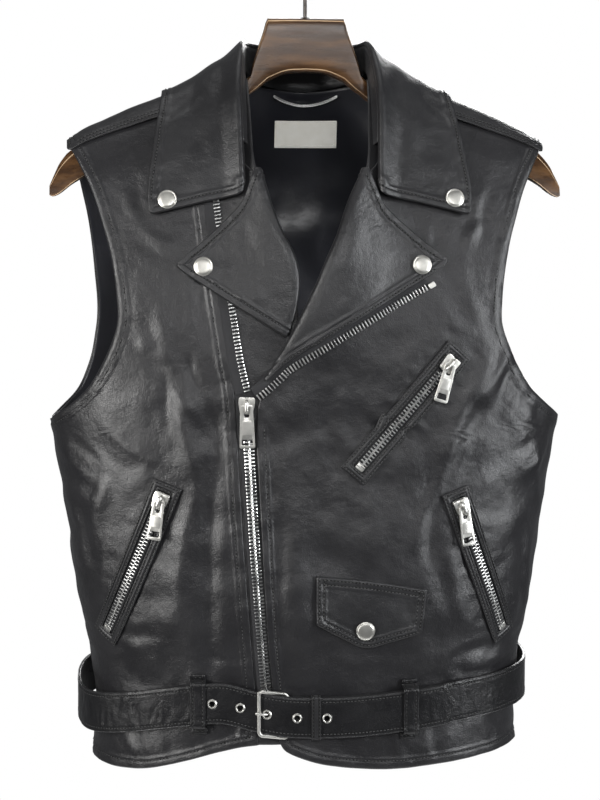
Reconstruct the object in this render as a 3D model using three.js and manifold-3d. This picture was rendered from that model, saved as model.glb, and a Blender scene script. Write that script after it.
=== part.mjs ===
// A sleeveless leather biker vest hanging on a contoured wooden hanger.
// Millimetres, +Z up, +X to the wearer's left, -Y to the front.
// Heights in the tables are above the hem line. The finished group is lowered so that
// the origin is the point inside the hook where a rail bears.
import * as THREE from "three";
import { mergeVertices } from "three/addons/utils/BufferGeometryUtils.js";
import Module from "manifold-3d";

const wasm = await Module();
wasm.setup();

// Driving dimensions: walls and gaps
const LEATHER = 1.6;
const LINING = 1.0;
const LINING_DEEP = LINING + 0.6;
const GAP = 0.3;
const ON_PANEL = LEATHER + 0.8;
const TAPE = 0.6;
const OVERLAP_LIFT = 3.2;
const OVERLAP_FULL = 24;
const OVERLAP_GONE = 74;
const WELT_THICK = 1.5;
const WELT_LIFT = ON_PANEL + 0.5;

// Driving dimensions: the hollow form that the cloth hangs in
const UNDERARM_Z = 294;
const SECTION_POWER = 2.4;
const PROFILE_POWER = 1.8;
const NECK_PROFILE_EXTRA = 1.6;
const NECK_PROFILE_REACH = 45;
const RIDGE_EASE = 1.8;
const RIDGE_FORWARD = 10;
const RIDGE_FORWARD_AT = 200;
const RIDGE = 999;
const SEAM = 999;
const SEAM_TURN = 89.94;
const RIDGE_CLIMB = 1.996;

// Driving dimensions: hardware
const SNAP_DIAMETER = 16.5;
const EYELET_DIAMETER = 8.7;
const EYELET_HOLE = 4.8;
const CHAIN_HALF = 4.7;
const CHAIN_HIGH = 4.2;
const BELT_HALF = 17;
const BELT_THICK = 2.6;
const BELT_LAYER = BELT_THICK + 0.5;
const HOOK_WIRE = 3.4;
const HOOK_RADIUS = 20;
const HOOK_CENTRE_Z = 692;
const HOOK_SEAT_Z = HOOK_CENTRE_Z + HOOK_RADIUS - HOOK_WIRE / 2;

// Sections of the form below the underarm: half width, depth to the front and to the back
const BELOW = [
  { z: -30, half: 191, front: 93, back: 84 },
  { z: 0, half: 190, front: 92, back: 84 },
  { z: 45, half: 188, front: 92, back: 82 },
  { z: 90, half: 193, front: 94, back: 83 },
  { z: 130, half: 201, front: 98, back: 85 },
  { z: 190, half: 209, front: 97, back: 82 },
  { z: 250, half: 219, front: 93, back: 76 },
  { z: 294, half: 226, front: 90, back: 72 },
];

// Sections above it, by share of the way up to the shoulder ridge
const ABOVE = [
  { share: 0, half: 226, front: 90, back: 72 },
  { share: 0.46, half: 240, front: 89, back: 70 },
  { share: 0.85, half: 275, front: 85, back: 66 },
  { share: 1, half: 300, front: 80, back: 60 },
];

// The shoulder ridge, from the neck outwards
const SHOULDER = [
  { x: 0, z: 612 },
  { x: 40, z: 605.5 },
  { x: 75, z: 594.5 },
  { x: 130, z: 574.5 },
  { x: 190, z: 549 },
  { x: 208, z: 537 },
  { x: 240, z: 508 },
];

// The largest folds, each a soft ridge or trough from one point to another
const FOLDS = [
  { x0: -116, z0: 330, x1: -100, z1: 246, wide: 12, high: 4.0, back: false },
  { x0: -90, z0: 316, x1: -78, z1: 250, wide: 10, high: -2.4, back: false },
  { x0: -194, z0: 256, x1: -198, z1: 150, wide: 12, high: 3.0, back: false },
  { x0: 162, z0: 362, x1: 112, z1: 262, wide: 12, high: 4.2, back: false },
  { x0: 148, z0: 318, x1: 128, z1: 276, wide: 10, high: -2.4, back: false },
  { x0: 188, z0: 318, x1: 198, z1: 246, wide: 11, high: 3.2, back: false },
  { x0: 130, z0: 84, x1: 172, z1: 88, wide: 11, high: 2.6, back: false },
  { x0: -160, z0: 100, x1: -126, z1: 94, wide: 12, high: 2.6, back: false },
  { x0: -150, z0: 300, x1: -60, z1: 150, wide: 18, high: 4.0, back: true },
  { x0: 140, z0: 280, x1: 70, z1: 130, wide: 16, high: 3.6, back: true },
  { x0: -40, z0: 470, x1: 40, z1: 448, wide: 16, high: -2.6, back: true },
  { x0: 186, z0: 300, x1: 196, z1: 190, wide: 13, high: 3.0, back: true },
  { x0: -184, z0: 290, x1: -196, z1: 180, wide: 13, high: 3.2, back: true },
];

// Outlines of the pieces. Each point is [across, height above the hem line].
const ZIP_LINE = [[-38, 34], [-41, 68], [-44, 104], [-48, 156], [-52, 216], [-55, 276], [-57, 314]];
const ZIP_LINE_UPPER = [[-59, 326], [-65, 352], [-72, 399], [-78, 437], [-83, 478], [-84, 488]];
const RIGHT_EDGE_LOW = [[-48, 20], [-51, 68], [-54, 104], [-58, 156], [-62, 216], [-65, 276], [-66, 294]];
const RIGHT_EDGE_HIGH = [
  [-66, 294], [-68, 324], [-73, 352], [-80, 399], [-86, 437], [-91, 478], [-93, 506], [-88, 540], [-76, 572],
];
const LEFT_EDGE_LOW = [[-31, 27], [-35, 67], [-39, 110], [-42, 156], [-45, 216], [-48, 275], [-48.5, 294]];
const ROLL_LEFT = [
  [-47, 312], [-40, 330], [-24, 360], [-6, 395], [4, 416], [13, 437], [22, 457], [32, 486], [42, 506],
];
const ROLL_RIGHT = [
  [-24, 369], [-19, 384], [-15, 405], [-14, 424], [-19, 443], [-28, 461], [-36, 482], [-43, 506],
];
const ARMHOLE_FRONT = [
  [226, 296], [209, 310], [191, 327], [178, 348], [170, 366], [165, 384],
  [165.5, 404], [169, 433], [176, 462], [186, 494], [195, 514], [204, 531],
];
const ARMHOLE_BACK = [
  [226, 296], [215, 306], [202, 321], [193, 342], [188, 364], [185, 392],
  [187, 424], [191, 465], [198, 502], [204, 531],
];
const HEM_LEFT = [
  [-31, 27], [-24, 15], [-3, 6], [17, 1], [47, -3], [75, -4], [101, -3], [133, -1], [159, 1], [180, 3],
];
const HEM_RIGHT = [[-184, -6], [-164, -7], [-142, -5], [-122, 0], [-102, 6], [-81, 13], [-62, 18], [-48, 20]];
const FLAP_SIDES = {
  left: 2, right: 96, topLeft: 167, topRight: 153, low: 127, lowRight: 116.5, point: 103.5, pointX: 43.5,
};

// Collar stations from the front end to the centre back. Inner is the neck seam, outer the
// free edge; stand is how high the fold rises, upright how far it rises straight up.
const COLLAR = [
  { innerX: 60, innerZ: 491, outerX: 138, outerZ: 474, back: false, stand: 3, upright: 0 },
  { innerX: 58, innerZ: 512, outerX: 138, outerZ: 497, back: false, stand: 4, upright: 0 },
  { innerX: 58, innerZ: 540, outerX: 134, outerZ: 526, back: false, stand: 6, upright: 0.1 },
  { innerX: 58, innerZ: 570, outerX: 130, outerZ: 551, back: false, stand: 11, upright: 0.4 },
  { innerX: 58, innerZ: 590, outerX: 127, outerZ: 566, back: false, stand: 17, upright: 0.8 },
  { innerX: 57, innerZ: RIDGE, outerX: 124, outerZ: RIDGE, back: false, stand: 21, upright: 1 },
  { innerX: 52, innerZ: 595, outerX: 121, outerZ: 557, back: true, stand: 27, upright: 1 },
  { innerX: 38, innerZ: 591, outerX: 100, outerZ: 541, back: true, stand: 30, upright: 1 },
  { innerX: 19, innerZ: 588, outerX: 52, outerZ: 535, back: true, stand: 32, upright: 1 },
  { innerX: 0, innerZ: 587, outerX: 0, outerZ: 533, back: true, stand: 32, upright: 1 },
];

// The belt's path: centre height and distance off the form, by angle round the body
const BELT_PATH = [
  { angle: -180, z: 68, off: 5 },
  { angle: -135, z: 64, off: 9 },
  { angle: -105, z: 55, off: 14 },
  { angle: -90, z: 46, off: 15 },
  { angle: -75, z: 40, off: 13 },
  { angle: -57, z: 43, off: 8 },
  { angle: -30, z: 54, off: 6 },
  { angle: -20, z: 57, off: 6.6 },
  { angle: -11, z: 50, off: 7.4 },
  { angle: -4, z: 46, off: 7.6 },
  { angle: 5, z: 45, off: 7.4 },
  { angle: 20, z: 48, off: 6 },
  { angle: 40, z: 53, off: 5.6 },
  { angle: 60, z: 56, off: 6 },
  { angle: 82, z: 60, off: 9 },
  { angle: 110, z: 66, off: 11 },
  { angle: 135, z: 68, off: 9 },
  { angle: 180, z: 68, off: 5 },
];
const BELT_START = -3.8;
const BELT_RISE_FROM = 347.5;
const BELT_RISE_TO = 355.5;
const BELT_TIP = 395.5;
const BELT_TIP_TAPER = 3.4;

// The hanger's sections: top, bottom, centre and half depth, from the middle outwards
const HANGER = [
  { x: 0, top: 648, bottom: 601.5, y: 0, deep: 11 },
  { x: 18, top: 648, bottom: 600, y: 0, deep: 11 },
  { x: 33.5, top: 648, bottom: 593.5, y: 0, deep: 11 },
  { x: 37, top: 637, bottom: 591, y: 0, deep: 11 },
  { x: 44, top: 617, bottom: 585.5, y: 0, deep: 11.5 },
  { x: 50, top: 598, bottom: 581.5, y: 0, deep: 12 },
  { x: 57, top: 592.5, bottom: 576, y: 0.5, deep: 12 },
  { x: 75, top: 590.6, bottom: 568, y: -0.5, deep: 14 },
  { x: 110, top: 578, bottom: 556, y: -2, deep: 15.5 },
  { x: 150, top: 562, bottom: 538, y: -5, deep: 17 },
  { x: 185, top: 546, bottom: 515, y: -10, deep: 18.5 },
  { x: 205, top: 533, bottom: 503, y: -14, deep: 19 },
  { x: 216, top: 520.5, bottom: 494.5, y: -17, deep: 17 },
  { x: 222, top: 508, bottom: 492, y: -19, deep: 12.5 },
  { x: 225, top: 501, bottom: 493, y: -20, deep: 7 },
];

// Colours and finishes
const FINISH = {
  leather: { color: 0x1d1e20, roughness: 0.42, metalness: 0 },
  lining: { color: 0x0d0e13, roughness: 0.5, metalness: 0 },
  label: { color: 0xece8da, roughness: 0.8, metalness: 0 },
  nickel: { color: 0xc9c7c1, roughness: 0.28, metalness: 1 },
  steel: { color: 0x4a4540, roughness: 0.35, metalness: 1 },
  tape: { color: 0x101012, roughness: 0.9, metalness: 0 },
  wood: { color: 0x5a3420, roughness: 0.35, metalness: 0 },
};

const vest = new THREE.Group();
const hung = new THREE.Group();
hung.position.set(0, 0, -HOOK_SEAT_Z);
vest.add(hung);

// Small helpers
const radians = THREE.MathUtils.degToRad;
const degrees = THREE.MathUtils.radToDeg;
const clamp = THREE.MathUtils.clamp;
const smooth = (value, from, to) => THREE.MathUtils.smoothstep(value, from, to);
const mix = THREE.MathUtils.lerp;
const UP = new THREE.Vector3(0, 0, 1);

// Smooth value of one column of a table at a key between its rows
function column(table, key, at, name) {
  const last = table.length - 1;
  if (at <= table[0][key]) return table[0][name];
  if (at >= table[last][key]) return table[last][name];
  let row = 0;
  while (table[row + 1][key] < at) row += 1;
  const slope = (index) => {
    const a = table[Math.max(index - 1, 0)];
    const b = table[Math.min(index + 1, last)];
    return (b[name] - a[name]) / (b[key] - a[key]);
  };
  const span = table[row + 1][key] - table[row][key];
  const t = (at - table[row][key]) / span;
  const t2 = t * t;
  const t3 = t2 * t;
  return (2 * t3 - 3 * t2 + 1) * table[row][name] + (t3 - 2 * t2 + t) * span * slope(row)
    + (3 * t2 - 2 * t3) * table[row + 1][name] + (t3 - t2) * span * slope(row + 1);
}

const shoulderZ = (x) => column(SHOULDER, "x", Math.abs(x), "z");
const profilePower = (x) => PROFILE_POWER + NECK_PROFILE_EXTRA * Math.exp(-((x / NECK_PROFILE_REACH) ** 2));

// A place on the form is a turn (-90 at the right seam, 0 at the centre, 90 at the left seam)
// and a climb: 0 front hem, 1 front underarm, 2 shoulder ridge, 3 back underarm, 4 back hem.
function formPoint(turn, climb) {
  const atBack = climb > 2;
  const rise = atBack ? 4 - climb : climb;
  const side = Math.sign(turn);
  const out = Math.abs(Math.sin(radians(turn))) ** (2 / SECTION_POWER);
  const deep = Math.max(Math.cos(radians(turn)), 0) ** (2 / SECTION_POWER);
  const way = atBack ? 1 : -1;
  const depthName = atBack ? "back" : "front";
  if (rise <= 1) {
    const z = rise * UNDERARM_Z;
    const y = way * column(BELOW, "z", z, depthName) * deep;
    return new THREE.Vector3(side * column(BELOW, "z", z, "half") * out, y, z);
  }
  const share = 1 - (2 - rise) ** RIDGE_EASE;
  const x = column(ABOVE, "share", share, "half") * out;
  const power = profilePower(x);
  const bulge = Math.max(1 - share ** power, 0) ** (1 / power);
  const forward = RIDGE_FORWARD * (x / RIDGE_FORWARD_AT) ** 2 * share ** 2;
  const y = way * column(ABOVE, "share", share, depthName) * deep * bulge - forward;
  return new THREE.Vector3(side * x, y, UNDERARM_Z + (shoulderZ(x) - UNDERARM_Z) * share);
}

// The place on the form at a given distance across and height, on the front or the back
function spot(x, z, back = false) {
  let rise = z / UNDERARM_Z;
  let half = column(BELOW, "z", z, "half");
  if (z > UNDERARM_Z) {
    const share = clamp((z - UNDERARM_Z) / (shoulderZ(x) - UNDERARM_Z), 0, 1);
    rise = 2 - (1 - share) ** (1 / RIDGE_EASE);
    half = column(ABOVE, "share", share, "half");
  }
  const reach = clamp(Math.abs(x) / half, 0, 1) ** (SECTION_POWER / 2);
  const turn = Math.sign(x) * clamp(degrees(Math.asin(reach)), 0, SEAM_TURN);
  rise = Math.min(rise, RIDGE_CLIMB);
  return { turn, climb: back ? 4 - rise : rise };
}

// Directions along the form and out of it at a place
function frameAt({ turn, climb }) {
  const low = Math.max(turn - 0.4, -90);
  const high = Math.min(turn + 0.4, 90);
  const across = formPoint(high, climb).sub(formPoint(low, climb)).divideScalar(high - low);
  const step = 0.002;
  const along = formPoint(turn, climb + step).sub(formPoint(turn, climb - step)).divideScalar(2 * step);
  const out = across.clone().cross(along).normalize();
  return { across, along, out };
}

// Height of the folds at a point of the front or back
function foldLift(x, z, back) {
  let total = 0;
  for (const fold of FOLDS) {
    if (fold.back !== back) continue;
    const runX = fold.x1 - fold.x0;
    const runZ = fold.z1 - fold.z0;
    const length = Math.hypot(runX, runZ);
    const along = ((x - fold.x0) * runX + (z - fold.z0) * runZ) / (length * length);
    const aside = ((x - fold.x0) * runZ - (z - fold.z0) * runX) / length;
    const fade = smooth(along, -0.12, 0.3) * (1 - smooth(along, 0.7, 1.12));
    total += fold.high * fade * Math.exp(-((aside / fold.wide) ** 2));
  }
  return total;
}

// How far the left front stands off because it closes over the right one
function overlapLift(x, z) {
  const edge = z < UNDERARM_Z ? column(LEFT_EDGE_ROWS, "z", z, "x") : column(ROLL_ROWS, "z", z, "x");
  return OVERLAP_LIFT * (1 - smooth(x - edge, OVERLAP_FULL, OVERLAP_GONE)) * (1 - smooth(z, 430, 500));
}
const rowsOf = (outline) => outline.map(([x, z]) => ({ x, z }));
const LEFT_EDGE_ROWS = rowsOf(LEFT_EDGE_LOW);
const ROLL_ROWS = rowsOf([LEFT_EDGE_LOW.at(-1), ...ROLL_LEFT]);

// A point off the form, with the folds; over says that it lies on the left front
function skin(place, lift, over = false) {
  const point = formPoint(place.turn, place.climb);
  const back = place.climb > 2;
  const extra = foldLift(point.x, point.z, back) + (over ? overlapLift(point.x, point.z) : 0);
  return point.addScaledVector(frameAt(place).out, lift + extra);
}

// The place reached by walking a short way over the form
function walk(place, right, up) {
  const { across, along, out } = frameAt(place);
  const level = UP.clone().cross(out).normalize().multiplyScalar(-1);
  const rise = level.clone().cross(out).normalize();
  const way = level.multiplyScalar(-right).addScaledVector(rise, up);
  if (way.dot(UP) * up < 0) way.addScaledVector(rise, -2 * up);
  const aa = across.dot(across);
  const bb = along.dot(along);
  const ab = across.dot(along);
  const determinant = aa * bb - ab * ab;
  const u = (way.dot(across) * bb - way.dot(along) * ab) / determinant;
  const v = (way.dot(along) * aa - way.dot(across) * ab) / determinant;
  return { turn: clamp(place.turn + u, -90, 90), climb: place.climb + v };
}

// A mesh made from faces that index a list of points, turned to face outwards
function closedMesh(points, faces) {
  let volume = 0;
  for (const [a, b, c] of faces) {
    volume += points[a].dot(points[b].clone().cross(points[c]));
  }
  const order = volume < 0 ? faces.map(([a, b, c]) => [a, c, b]) : faces;
  const geometry = new THREE.BufferGeometry();
  geometry.setAttribute("position", new THREE.Float32BufferAttribute(points.flatMap((p) => p.toArray()), 3));
  geometry.setIndex(order.flat());
  return geometry;
}

// A wall on a grid of inner points, thickened along the grid's own normals
function wall(grid, thickness, wrap = false) {
  const columns = grid.length;
  const rows = grid[0].length;
  const at = (i, j) => {
    const column = wrap ? (i + columns) % columns : clamp(i, 0, columns - 1);
    return grid[column][clamp(j, 0, rows - 1)];
  };
  const points = [];
  for (let i = 0; i < columns; i += 1) {
    for (let j = 0; j < rows; j += 1) points.push(grid[i][j].clone());
  }
  for (let i = 0; i < columns; i += 1) {
    for (let j = 0; j < rows; j += 1) {
      const across = at(i + 1, j).clone().sub(at(i - 1, j));
      const along = at(i, j + 1).clone().sub(at(i, j - 1));
      points.push(grid[i][j].clone().addScaledVector(across.cross(along).normalize(), thickness));
    }
  }
  const half = columns * rows;
  const index = (i, j, outer) => (outer ? half : 0) + (i % columns) * rows + j;
  const faces = [];
  const quad = (a, b, c, d) => faces.push([a, b, c], [a, c, d]);
  const spans = wrap ? columns : columns - 1;
  for (let i = 0; i < spans; i += 1) {
    for (let j = 0; j < rows - 1; j += 1) {
      quad(index(i, j, 1), index(i + 1, j, 1), index(i + 1, j + 1, 1), index(i, j + 1, 1));
      quad(index(i, j, 0), index(i, j + 1, 0), index(i + 1, j + 1, 0), index(i + 1, j, 0));
    }
    quad(index(i, 0, 0), index(i + 1, 0, 0), index(i + 1, 0, 1), index(i, 0, 1));
    quad(index(i, rows - 1, 0), index(i, rows - 1, 1), index(i + 1, rows - 1, 1), index(i + 1, rows - 1, 0));
  }
  if (!wrap) {
    for (let j = 0; j < rows - 1; j += 1) {
      quad(index(0, j, 0), index(0, j, 1), index(0, j + 1, 1), index(0, j + 1, 0));
      const end = columns - 1;
      quad(index(end, j, 0), index(end, j + 1, 0), index(end, j + 1, 1), index(end, j, 1));
    }
  }
  return closedMesh(points, faces);
}

// A closed skin over rings of points: a ring for each station, joined in a loop or capped
function rings(stations, loop = false) {
  const around = stations[0].length;
  const points = stations.flat();
  const faces = [];
  const spans = loop ? stations.length : stations.length - 1;
  for (let i = 0; i < spans; i += 1) {
    const a = i * around;
    const b = ((i + 1) % stations.length) * around;
    for (let j = 0; j < around; j += 1) {
      const k = (j + 1) % around;
      faces.push([a + j, b + j, b + k], [a + j, b + k, a + k]);
    }
  }
  if (!loop) {
    for (const start of [0, stations.length - 1]) {
      const centre = new THREE.Vector3();
      for (const point of stations[start]) centre.addScaledVector(point, 1 / around);
      points.push(centre);
      for (let j = 0; j < around; j += 1) {
        const k = (j + 1) % around;
        const [a, b] = start === 0 ? [j, k] : [k, j];
        faces.push([points.length - 1, start * around + a, start * around + b]);
      }
    }
  }
  return closedMesh(points, faces);
}

// Points evenly spaced along an outline, as places on the form
function trace(outline, count, back = false) {
  if (outline.some(([x]) => Math.abs(x) === SEAM)) {
    return Array.from({ length: count }, (_, i) => {
      const [a, b] = outline;
      return spot(a[0], mix(a[1], b[1], i / (count - 1)), back);
    });
  }
  const curve = new THREE.SplineCurve(outline.map(([x, z]) => new THREE.Vector2(x, z)));
  return Array.from({ length: count }, (_, i) => {
    const { x, y } = curve.getPointAt(i / (count - 1));
    return spot(x, y, back);
  });
}

// Two outlines that follow one another, sharing their meeting point
const chain = (first, second) => [...first, ...second.slice(1)];

// Places filling the space between four sides
function fill(bottom, right, top, left) {
  const columns = bottom.length;
  const rows = left.length;
  const blend = (name, i, j) => {
    const u = i / (columns - 1);
    const v = j / (rows - 1);
    const sides = mix(bottom[i][name], top[i][name], v) + mix(left[j][name], right[j][name], u);
    const corners = mix(
      mix(bottom[0][name], bottom[columns - 1][name], u), mix(top[0][name], top[columns - 1][name], u), v);
    return sides - corners;
  };
  return Array.from({ length: columns }, (_, i) => Array.from({ length: rows }, (__, j) => (
    { turn: blend("turn", i, j), climb: blend("climb", i, j) })));
}

const lifted = (places, lift, over) => places.map((list) => list.map((place) => skin(place, lift, over)));

const mirrored = (outline) => outline.map(([x, z]) => [-x, z]);
const reversed = (outline) => [...outline].reverse();

// A named mesh of the vest
function add(name, geometry, finish, place = null) {
  const mesh = new THREE.Mesh(geometry, new THREE.MeshStandardMaterial(FINISH[finish]));
  mesh.name = name;
  geometry.computeVertexNormals();
  if (place) {
    mesh.position.copy(place.position);
    mesh.quaternion.copy(place.quaternion);
  }
  hung.add(mesh);
  return mesh;
}

// Joins and cuts of closed meshes
function toManifold(geometry) {
  const bare = geometry.clone();
  bare.deleteAttribute("normal");
  bare.deleteAttribute("uv");
  const merged = mergeVertices(bare, 1e-4);
  return new wasm.Manifold(new wasm.Mesh({
    numProp: 3,
    vertProperties: new Float32Array(merged.attributes.position.array),
    triVerts: new Uint32Array(merged.index.array),
  }));
}
function fromManifold(solid) {
  const mesh = solid.getMesh();
  const geometry = new THREE.BufferGeometry();
  geometry.setAttribute("position", new THREE.BufferAttribute(new Float32Array(mesh.vertProperties), 3));
  geometry.setIndex(new THREE.BufferAttribute(new Uint32Array(mesh.triVerts), 1));
  return geometry;
}
const joined = (a, b) => fromManifold(toManifold(a).add(toManifold(b)));

// Body panels
const FRONT_COLUMNS = 14;
const NECK_X = 61;
const NECK_Z = shoulderZ(NECK_X);
const NECK_EDGE = [[51, 513], [59, 523], [61, 545]];
const EXTENSION_TOP = 5;
const LOW_ROWS = 9;
const HIGH_ROWS = 11;

function armSide(side, outline, back) {
  const low = trace([[SEAM * side, side > 0 ? 3 : -6], [SEAM * side, UNDERARM_Z]], LOW_ROWS, back);
  const arm = outline.map(([x, z]) => [x * side, z]);
  const high = trace(arm, HIGH_ROWS - 1, back);
  const tip = spot(206 * side, RIDGE, back);
  return chain(low, [low.at(-1), ...high.slice(1), tip]);
}

function frontLeft() {
  const inner = chain(
    trace(LEFT_EDGE_LOW, LOW_ROWS),
    trace([LEFT_EDGE_LOW.at(-1), ...ROLL_LEFT, ...NECK_EDGE, [NECK_X, NECK_Z]], HIGH_ROWS));
  inner[inner.length - 1] = spot(NECK_X, RIDGE);
  const bottom = trace([...HEM_LEFT, [189.9, 3]], FRONT_COLUMNS);
  const outer = armSide(1, ARMHOLE_FRONT, false);
  const top = trace([[NECK_X, NECK_Z], [130, 574.5], [206, 538]], FRONT_COLUMNS)
    .map(({ turn }) => ({ turn, climb: RIDGE_CLIMB }));
  bottom[FRONT_COLUMNS - 1] = outer[0];
  top[0] = inner.at(-1);
  top[FRONT_COLUMNS - 1] = outer.at(-1);
  add("front_left", wall(lifted(fill(bottom, outer, top, inner), 0, true), LEATHER), "leather");
}

function frontRight() {
  const inner = chain(
    trace(RIGHT_EDGE_LOW, LOW_ROWS),
    trace([...RIGHT_EDGE_HIGH, [-NECK_X - EXTENSION_TOP, NECK_Z]], HIGH_ROWS));
  const outer = armSide(-1, ARMHOLE_FRONT, false);
  const bottom = trace([[-189.9, -6], ...HEM_RIGHT], FRONT_COLUMNS);
  const top = trace([[-206, 538], [-130, 574.5], [-NECK_X - EXTENSION_TOP, NECK_Z]], FRONT_COLUMNS)
    .map(({ turn }) => ({ turn, climb: RIDGE_CLIMB }));
  inner[inner.length - 1] = spot(-NECK_X - EXTENSION_TOP, RIDGE);
  bottom[0] = outer[0];
  top[0] = outer.at(-1);
  top[FRONT_COLUMNS - 1] = inner.at(-1);
  add("front_right", wall(lifted(fill(bottom, inner, top, outer), 0), LEATHER), "leather");
}

// The right front goes on past its zip, under the left front, and turns back as the right lapel
function frontExtension() {
  const shift = (outline) => outline.map(([x, z]) => [x + GAP + 0.1, z]);
  const seamTop = -NECK_X - EXTENSION_TOP + GAP + 0.1;
  const outer = chain(
    trace(shift(RIGHT_EDGE_LOW), LOW_ROWS), trace([...shift(RIGHT_EDGE_HIGH), [seamTop, NECK_Z]], HIGH_ROWS));
  const inner = chain(
    trace([[-8, 20], [-12, 120], [-14, 220], [-12, UNDERARM_Z]], LOW_ROWS),
    trace([[-12, UNDERARM_Z], [-12, 350], [-13, 384], ...ROLL_RIGHT.slice(2), ...mirrored(NECK_EDGE),
      [-NECK_X, NECK_Z]], HIGH_ROWS));
  const columns = 5;
  outer[outer.length - 1] = spot(seamTop, RIDGE);
  inner[inner.length - 1] = spot(-NECK_X, RIDGE);
  const bottom = trace([[-47.6, 20], [-30, 20], [-8, 20]], columns);
  const top = Array.from({ length: columns }, (_, i) => ({
    turn: mix(outer.at(-1).turn, inner.at(-1).turn, i / (columns - 1)), climb: RIDGE_CLIMB }));
  bottom[0] = outer[0];
  bottom[columns - 1] = inner[0];
  add("front_extension", wall(lifted(fill(bottom, inner, top, outer), 0), LEATHER), "leather");
}

// The back and its lining share one net of places
const SHOULDER_COLUMNS = 6;
const NECK_COLUMNS = 7;
const BACK_COLUMNS = 2 * SHOULDER_COLUMNS + NECK_COLUMNS;
function backPlaces() {
  const right = armSide(1, ARMHOLE_BACK, true);
  const left = armSide(-1, ARMHOLE_BACK, true);
  const bottom = Array.from({ length: BACK_COLUMNS }, (_, i) => ({
    turn: mix(-SEAM_TURN, SEAM_TURN, i / (BACK_COLUMNS - 1)),
    climb: mix(left[0].climb, right[0].climb, i / (BACK_COLUMNS - 1)) }));
  const shoulder = trace([[-206, 538], [-130, 574.5], [-NECK_X, NECK_Z]], SHOULDER_COLUMNS, true)
    .map(({ turn }) => ({ turn, climb: 4 - RIDGE_CLIMB }));
  const half = [[-58, 596], [-49, 592], [-30, 589], [0, 587]];
  const neck = trace(chain(half, reversed(mirrored(half))), NECK_COLUMNS, true);
  const far = shoulder.map(({ turn, climb }) => ({ turn: -turn, climb })).reverse();
  const top = [...shoulder, ...neck, ...far];
  top[0] = left.at(-1);
  top[BACK_COLUMNS - 1] = right.at(-1);
  return fill(bottom, right, top, left).reverse();
}

function back() {
  const places = backPlaces();
  add("back", wall(lifted(places, 0), LEATHER), "leather");
  add("lining_back", wall(lifted(places, -LINING_DEEP), LINING), "lining");
}

// A band over the shoulder, from front to back, ending just past the armhole
function epaulette(side) {
  const columns = 8;
  const rows = 9;
  const grid = [];
  for (let i = 0; i < columns; i += 1) {
    const share = i / (columns - 1);
    const x = mix(116, 207.5, share);
    const front = shoulderZ(x) - mix(17, 10, share);
    const from = spot(x, front, false).climb;
    const to = spot(x, front + 2, true).climb;
    const list = [];
    for (let j = 0; j < rows; j += 1) {
      const climb = mix(from, to, j / (rows - 1));
      const rise = climb > 2 ? 4 - climb : climb;
      const height = 1 - (2 - rise) ** RIDGE_EASE;
      const half = column(ABOVE, "share", height, "half");
      const turn = side * degrees(Math.asin(clamp(x / half, 0, 1) ** (SECTION_POWER / 2)));
      list.push(skin({ turn, climb }, ON_PANEL));
    }
    grid.push(list);
  }
  const name = side > 0 ? "epaulette_left" : "epaulette_right";
  add(name, wall(side > 0 ? grid : grid.reverse(), LEATHER), "leather");
}

// The collar: a fold line above the neck seam, a fall outside it and a stand inside it
const COLLAR_COLUMNS = 41;
const FALL_LIFT = 7.3;
const FALL_ROWS = 6;
const STAND_REACH = 0.8;
function collarStation(t) {
  const half = Math.abs(t);
  const side = Math.sign(t) || 1;
  const index = (1 - half) * (COLLAR.length - 1);
  const keyed = COLLAR.map((row, key) => {
    const inner = spot(row.innerX, row.innerZ, row.back);
    const outer = spot(row.outerX, row.outerZ, row.back);
    return { key, innerTurn: inner.turn, innerClimb: inner.climb, outerTurn: outer.turn,
      outerClimb: outer.climb, stand: row.stand, upright: row.upright };
  });
  const value = (name) => column(keyed, "key", index, name);
  return {
    inner: { turn: side * value("innerTurn"), climb: value("innerClimb") },
    outer: { turn: side * value("outerTurn"), climb: value("outerClimb") },
    stand: value("stand"),
    upright: value("upright"),
  };
}

function collarSection(t) {
  const { inner, outer, stand, upright } = collarStation(t);
  const base = skin(inner, 0);
  const lean = frameAt(inner).out.clone().lerp(UP, upright).normalize();
  const inward = base.clone().sub(skin(outer, 0)).setZ(0).normalize();
  const fold = base.clone().addScaledVector(lean, stand + FALL_LIFT);
  const roll = [[3.6, -4.4], [3.2, -1.8], [1.8, -0.2]].map(([inside, above]) => (
    fold.clone().addScaledVector(inward, inside).addScaledVector(lean, above)));
  const fall = [];
  for (let j = 0; j <= FALL_ROWS; j += 1) {
    const s = j / FALL_ROWS;
    const place = { turn: mix(inner.turn, outer.turn, s), climb: mix(inner.climb, outer.climb, s) };
    const rise = stand * (1 - s) ** 2.2;
    fall.push(skin(place, FALL_LIFT * mix(0.4, 1, smooth(s, 0, 0.3)))
      .addScaledVector(lean, rise + (s === 0 ? FALL_LIFT * 0.5 : 0)));
  }
  const foot = base.clone().addScaledVector(inward, 4.4).addScaledVector(lean, 1);
  return { roll, fall, foot, top: roll[0].clone().addScaledVector(lean, -GAP - 0.2), inward };
}

function collar() {
  const grid = [];
  const stand = [];
  for (let i = 0; i < COLLAR_COLUMNS; i += 1) {
    const t = mix(-1, 1, i / (COLLAR_COLUMNS - 1));
    const section = collarSection(t);
    grid.push([...section.roll, ...section.fall]);
    if (Math.abs(t) < STAND_REACH) {
      stand.push([section.foot, section.top]);
    }
  }
  add("collar", wall(grid.reverse(), LEATHER), "leather");
  add("collar_stand", wall(stand.reverse(), LEATHER), "leather");
}

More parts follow.
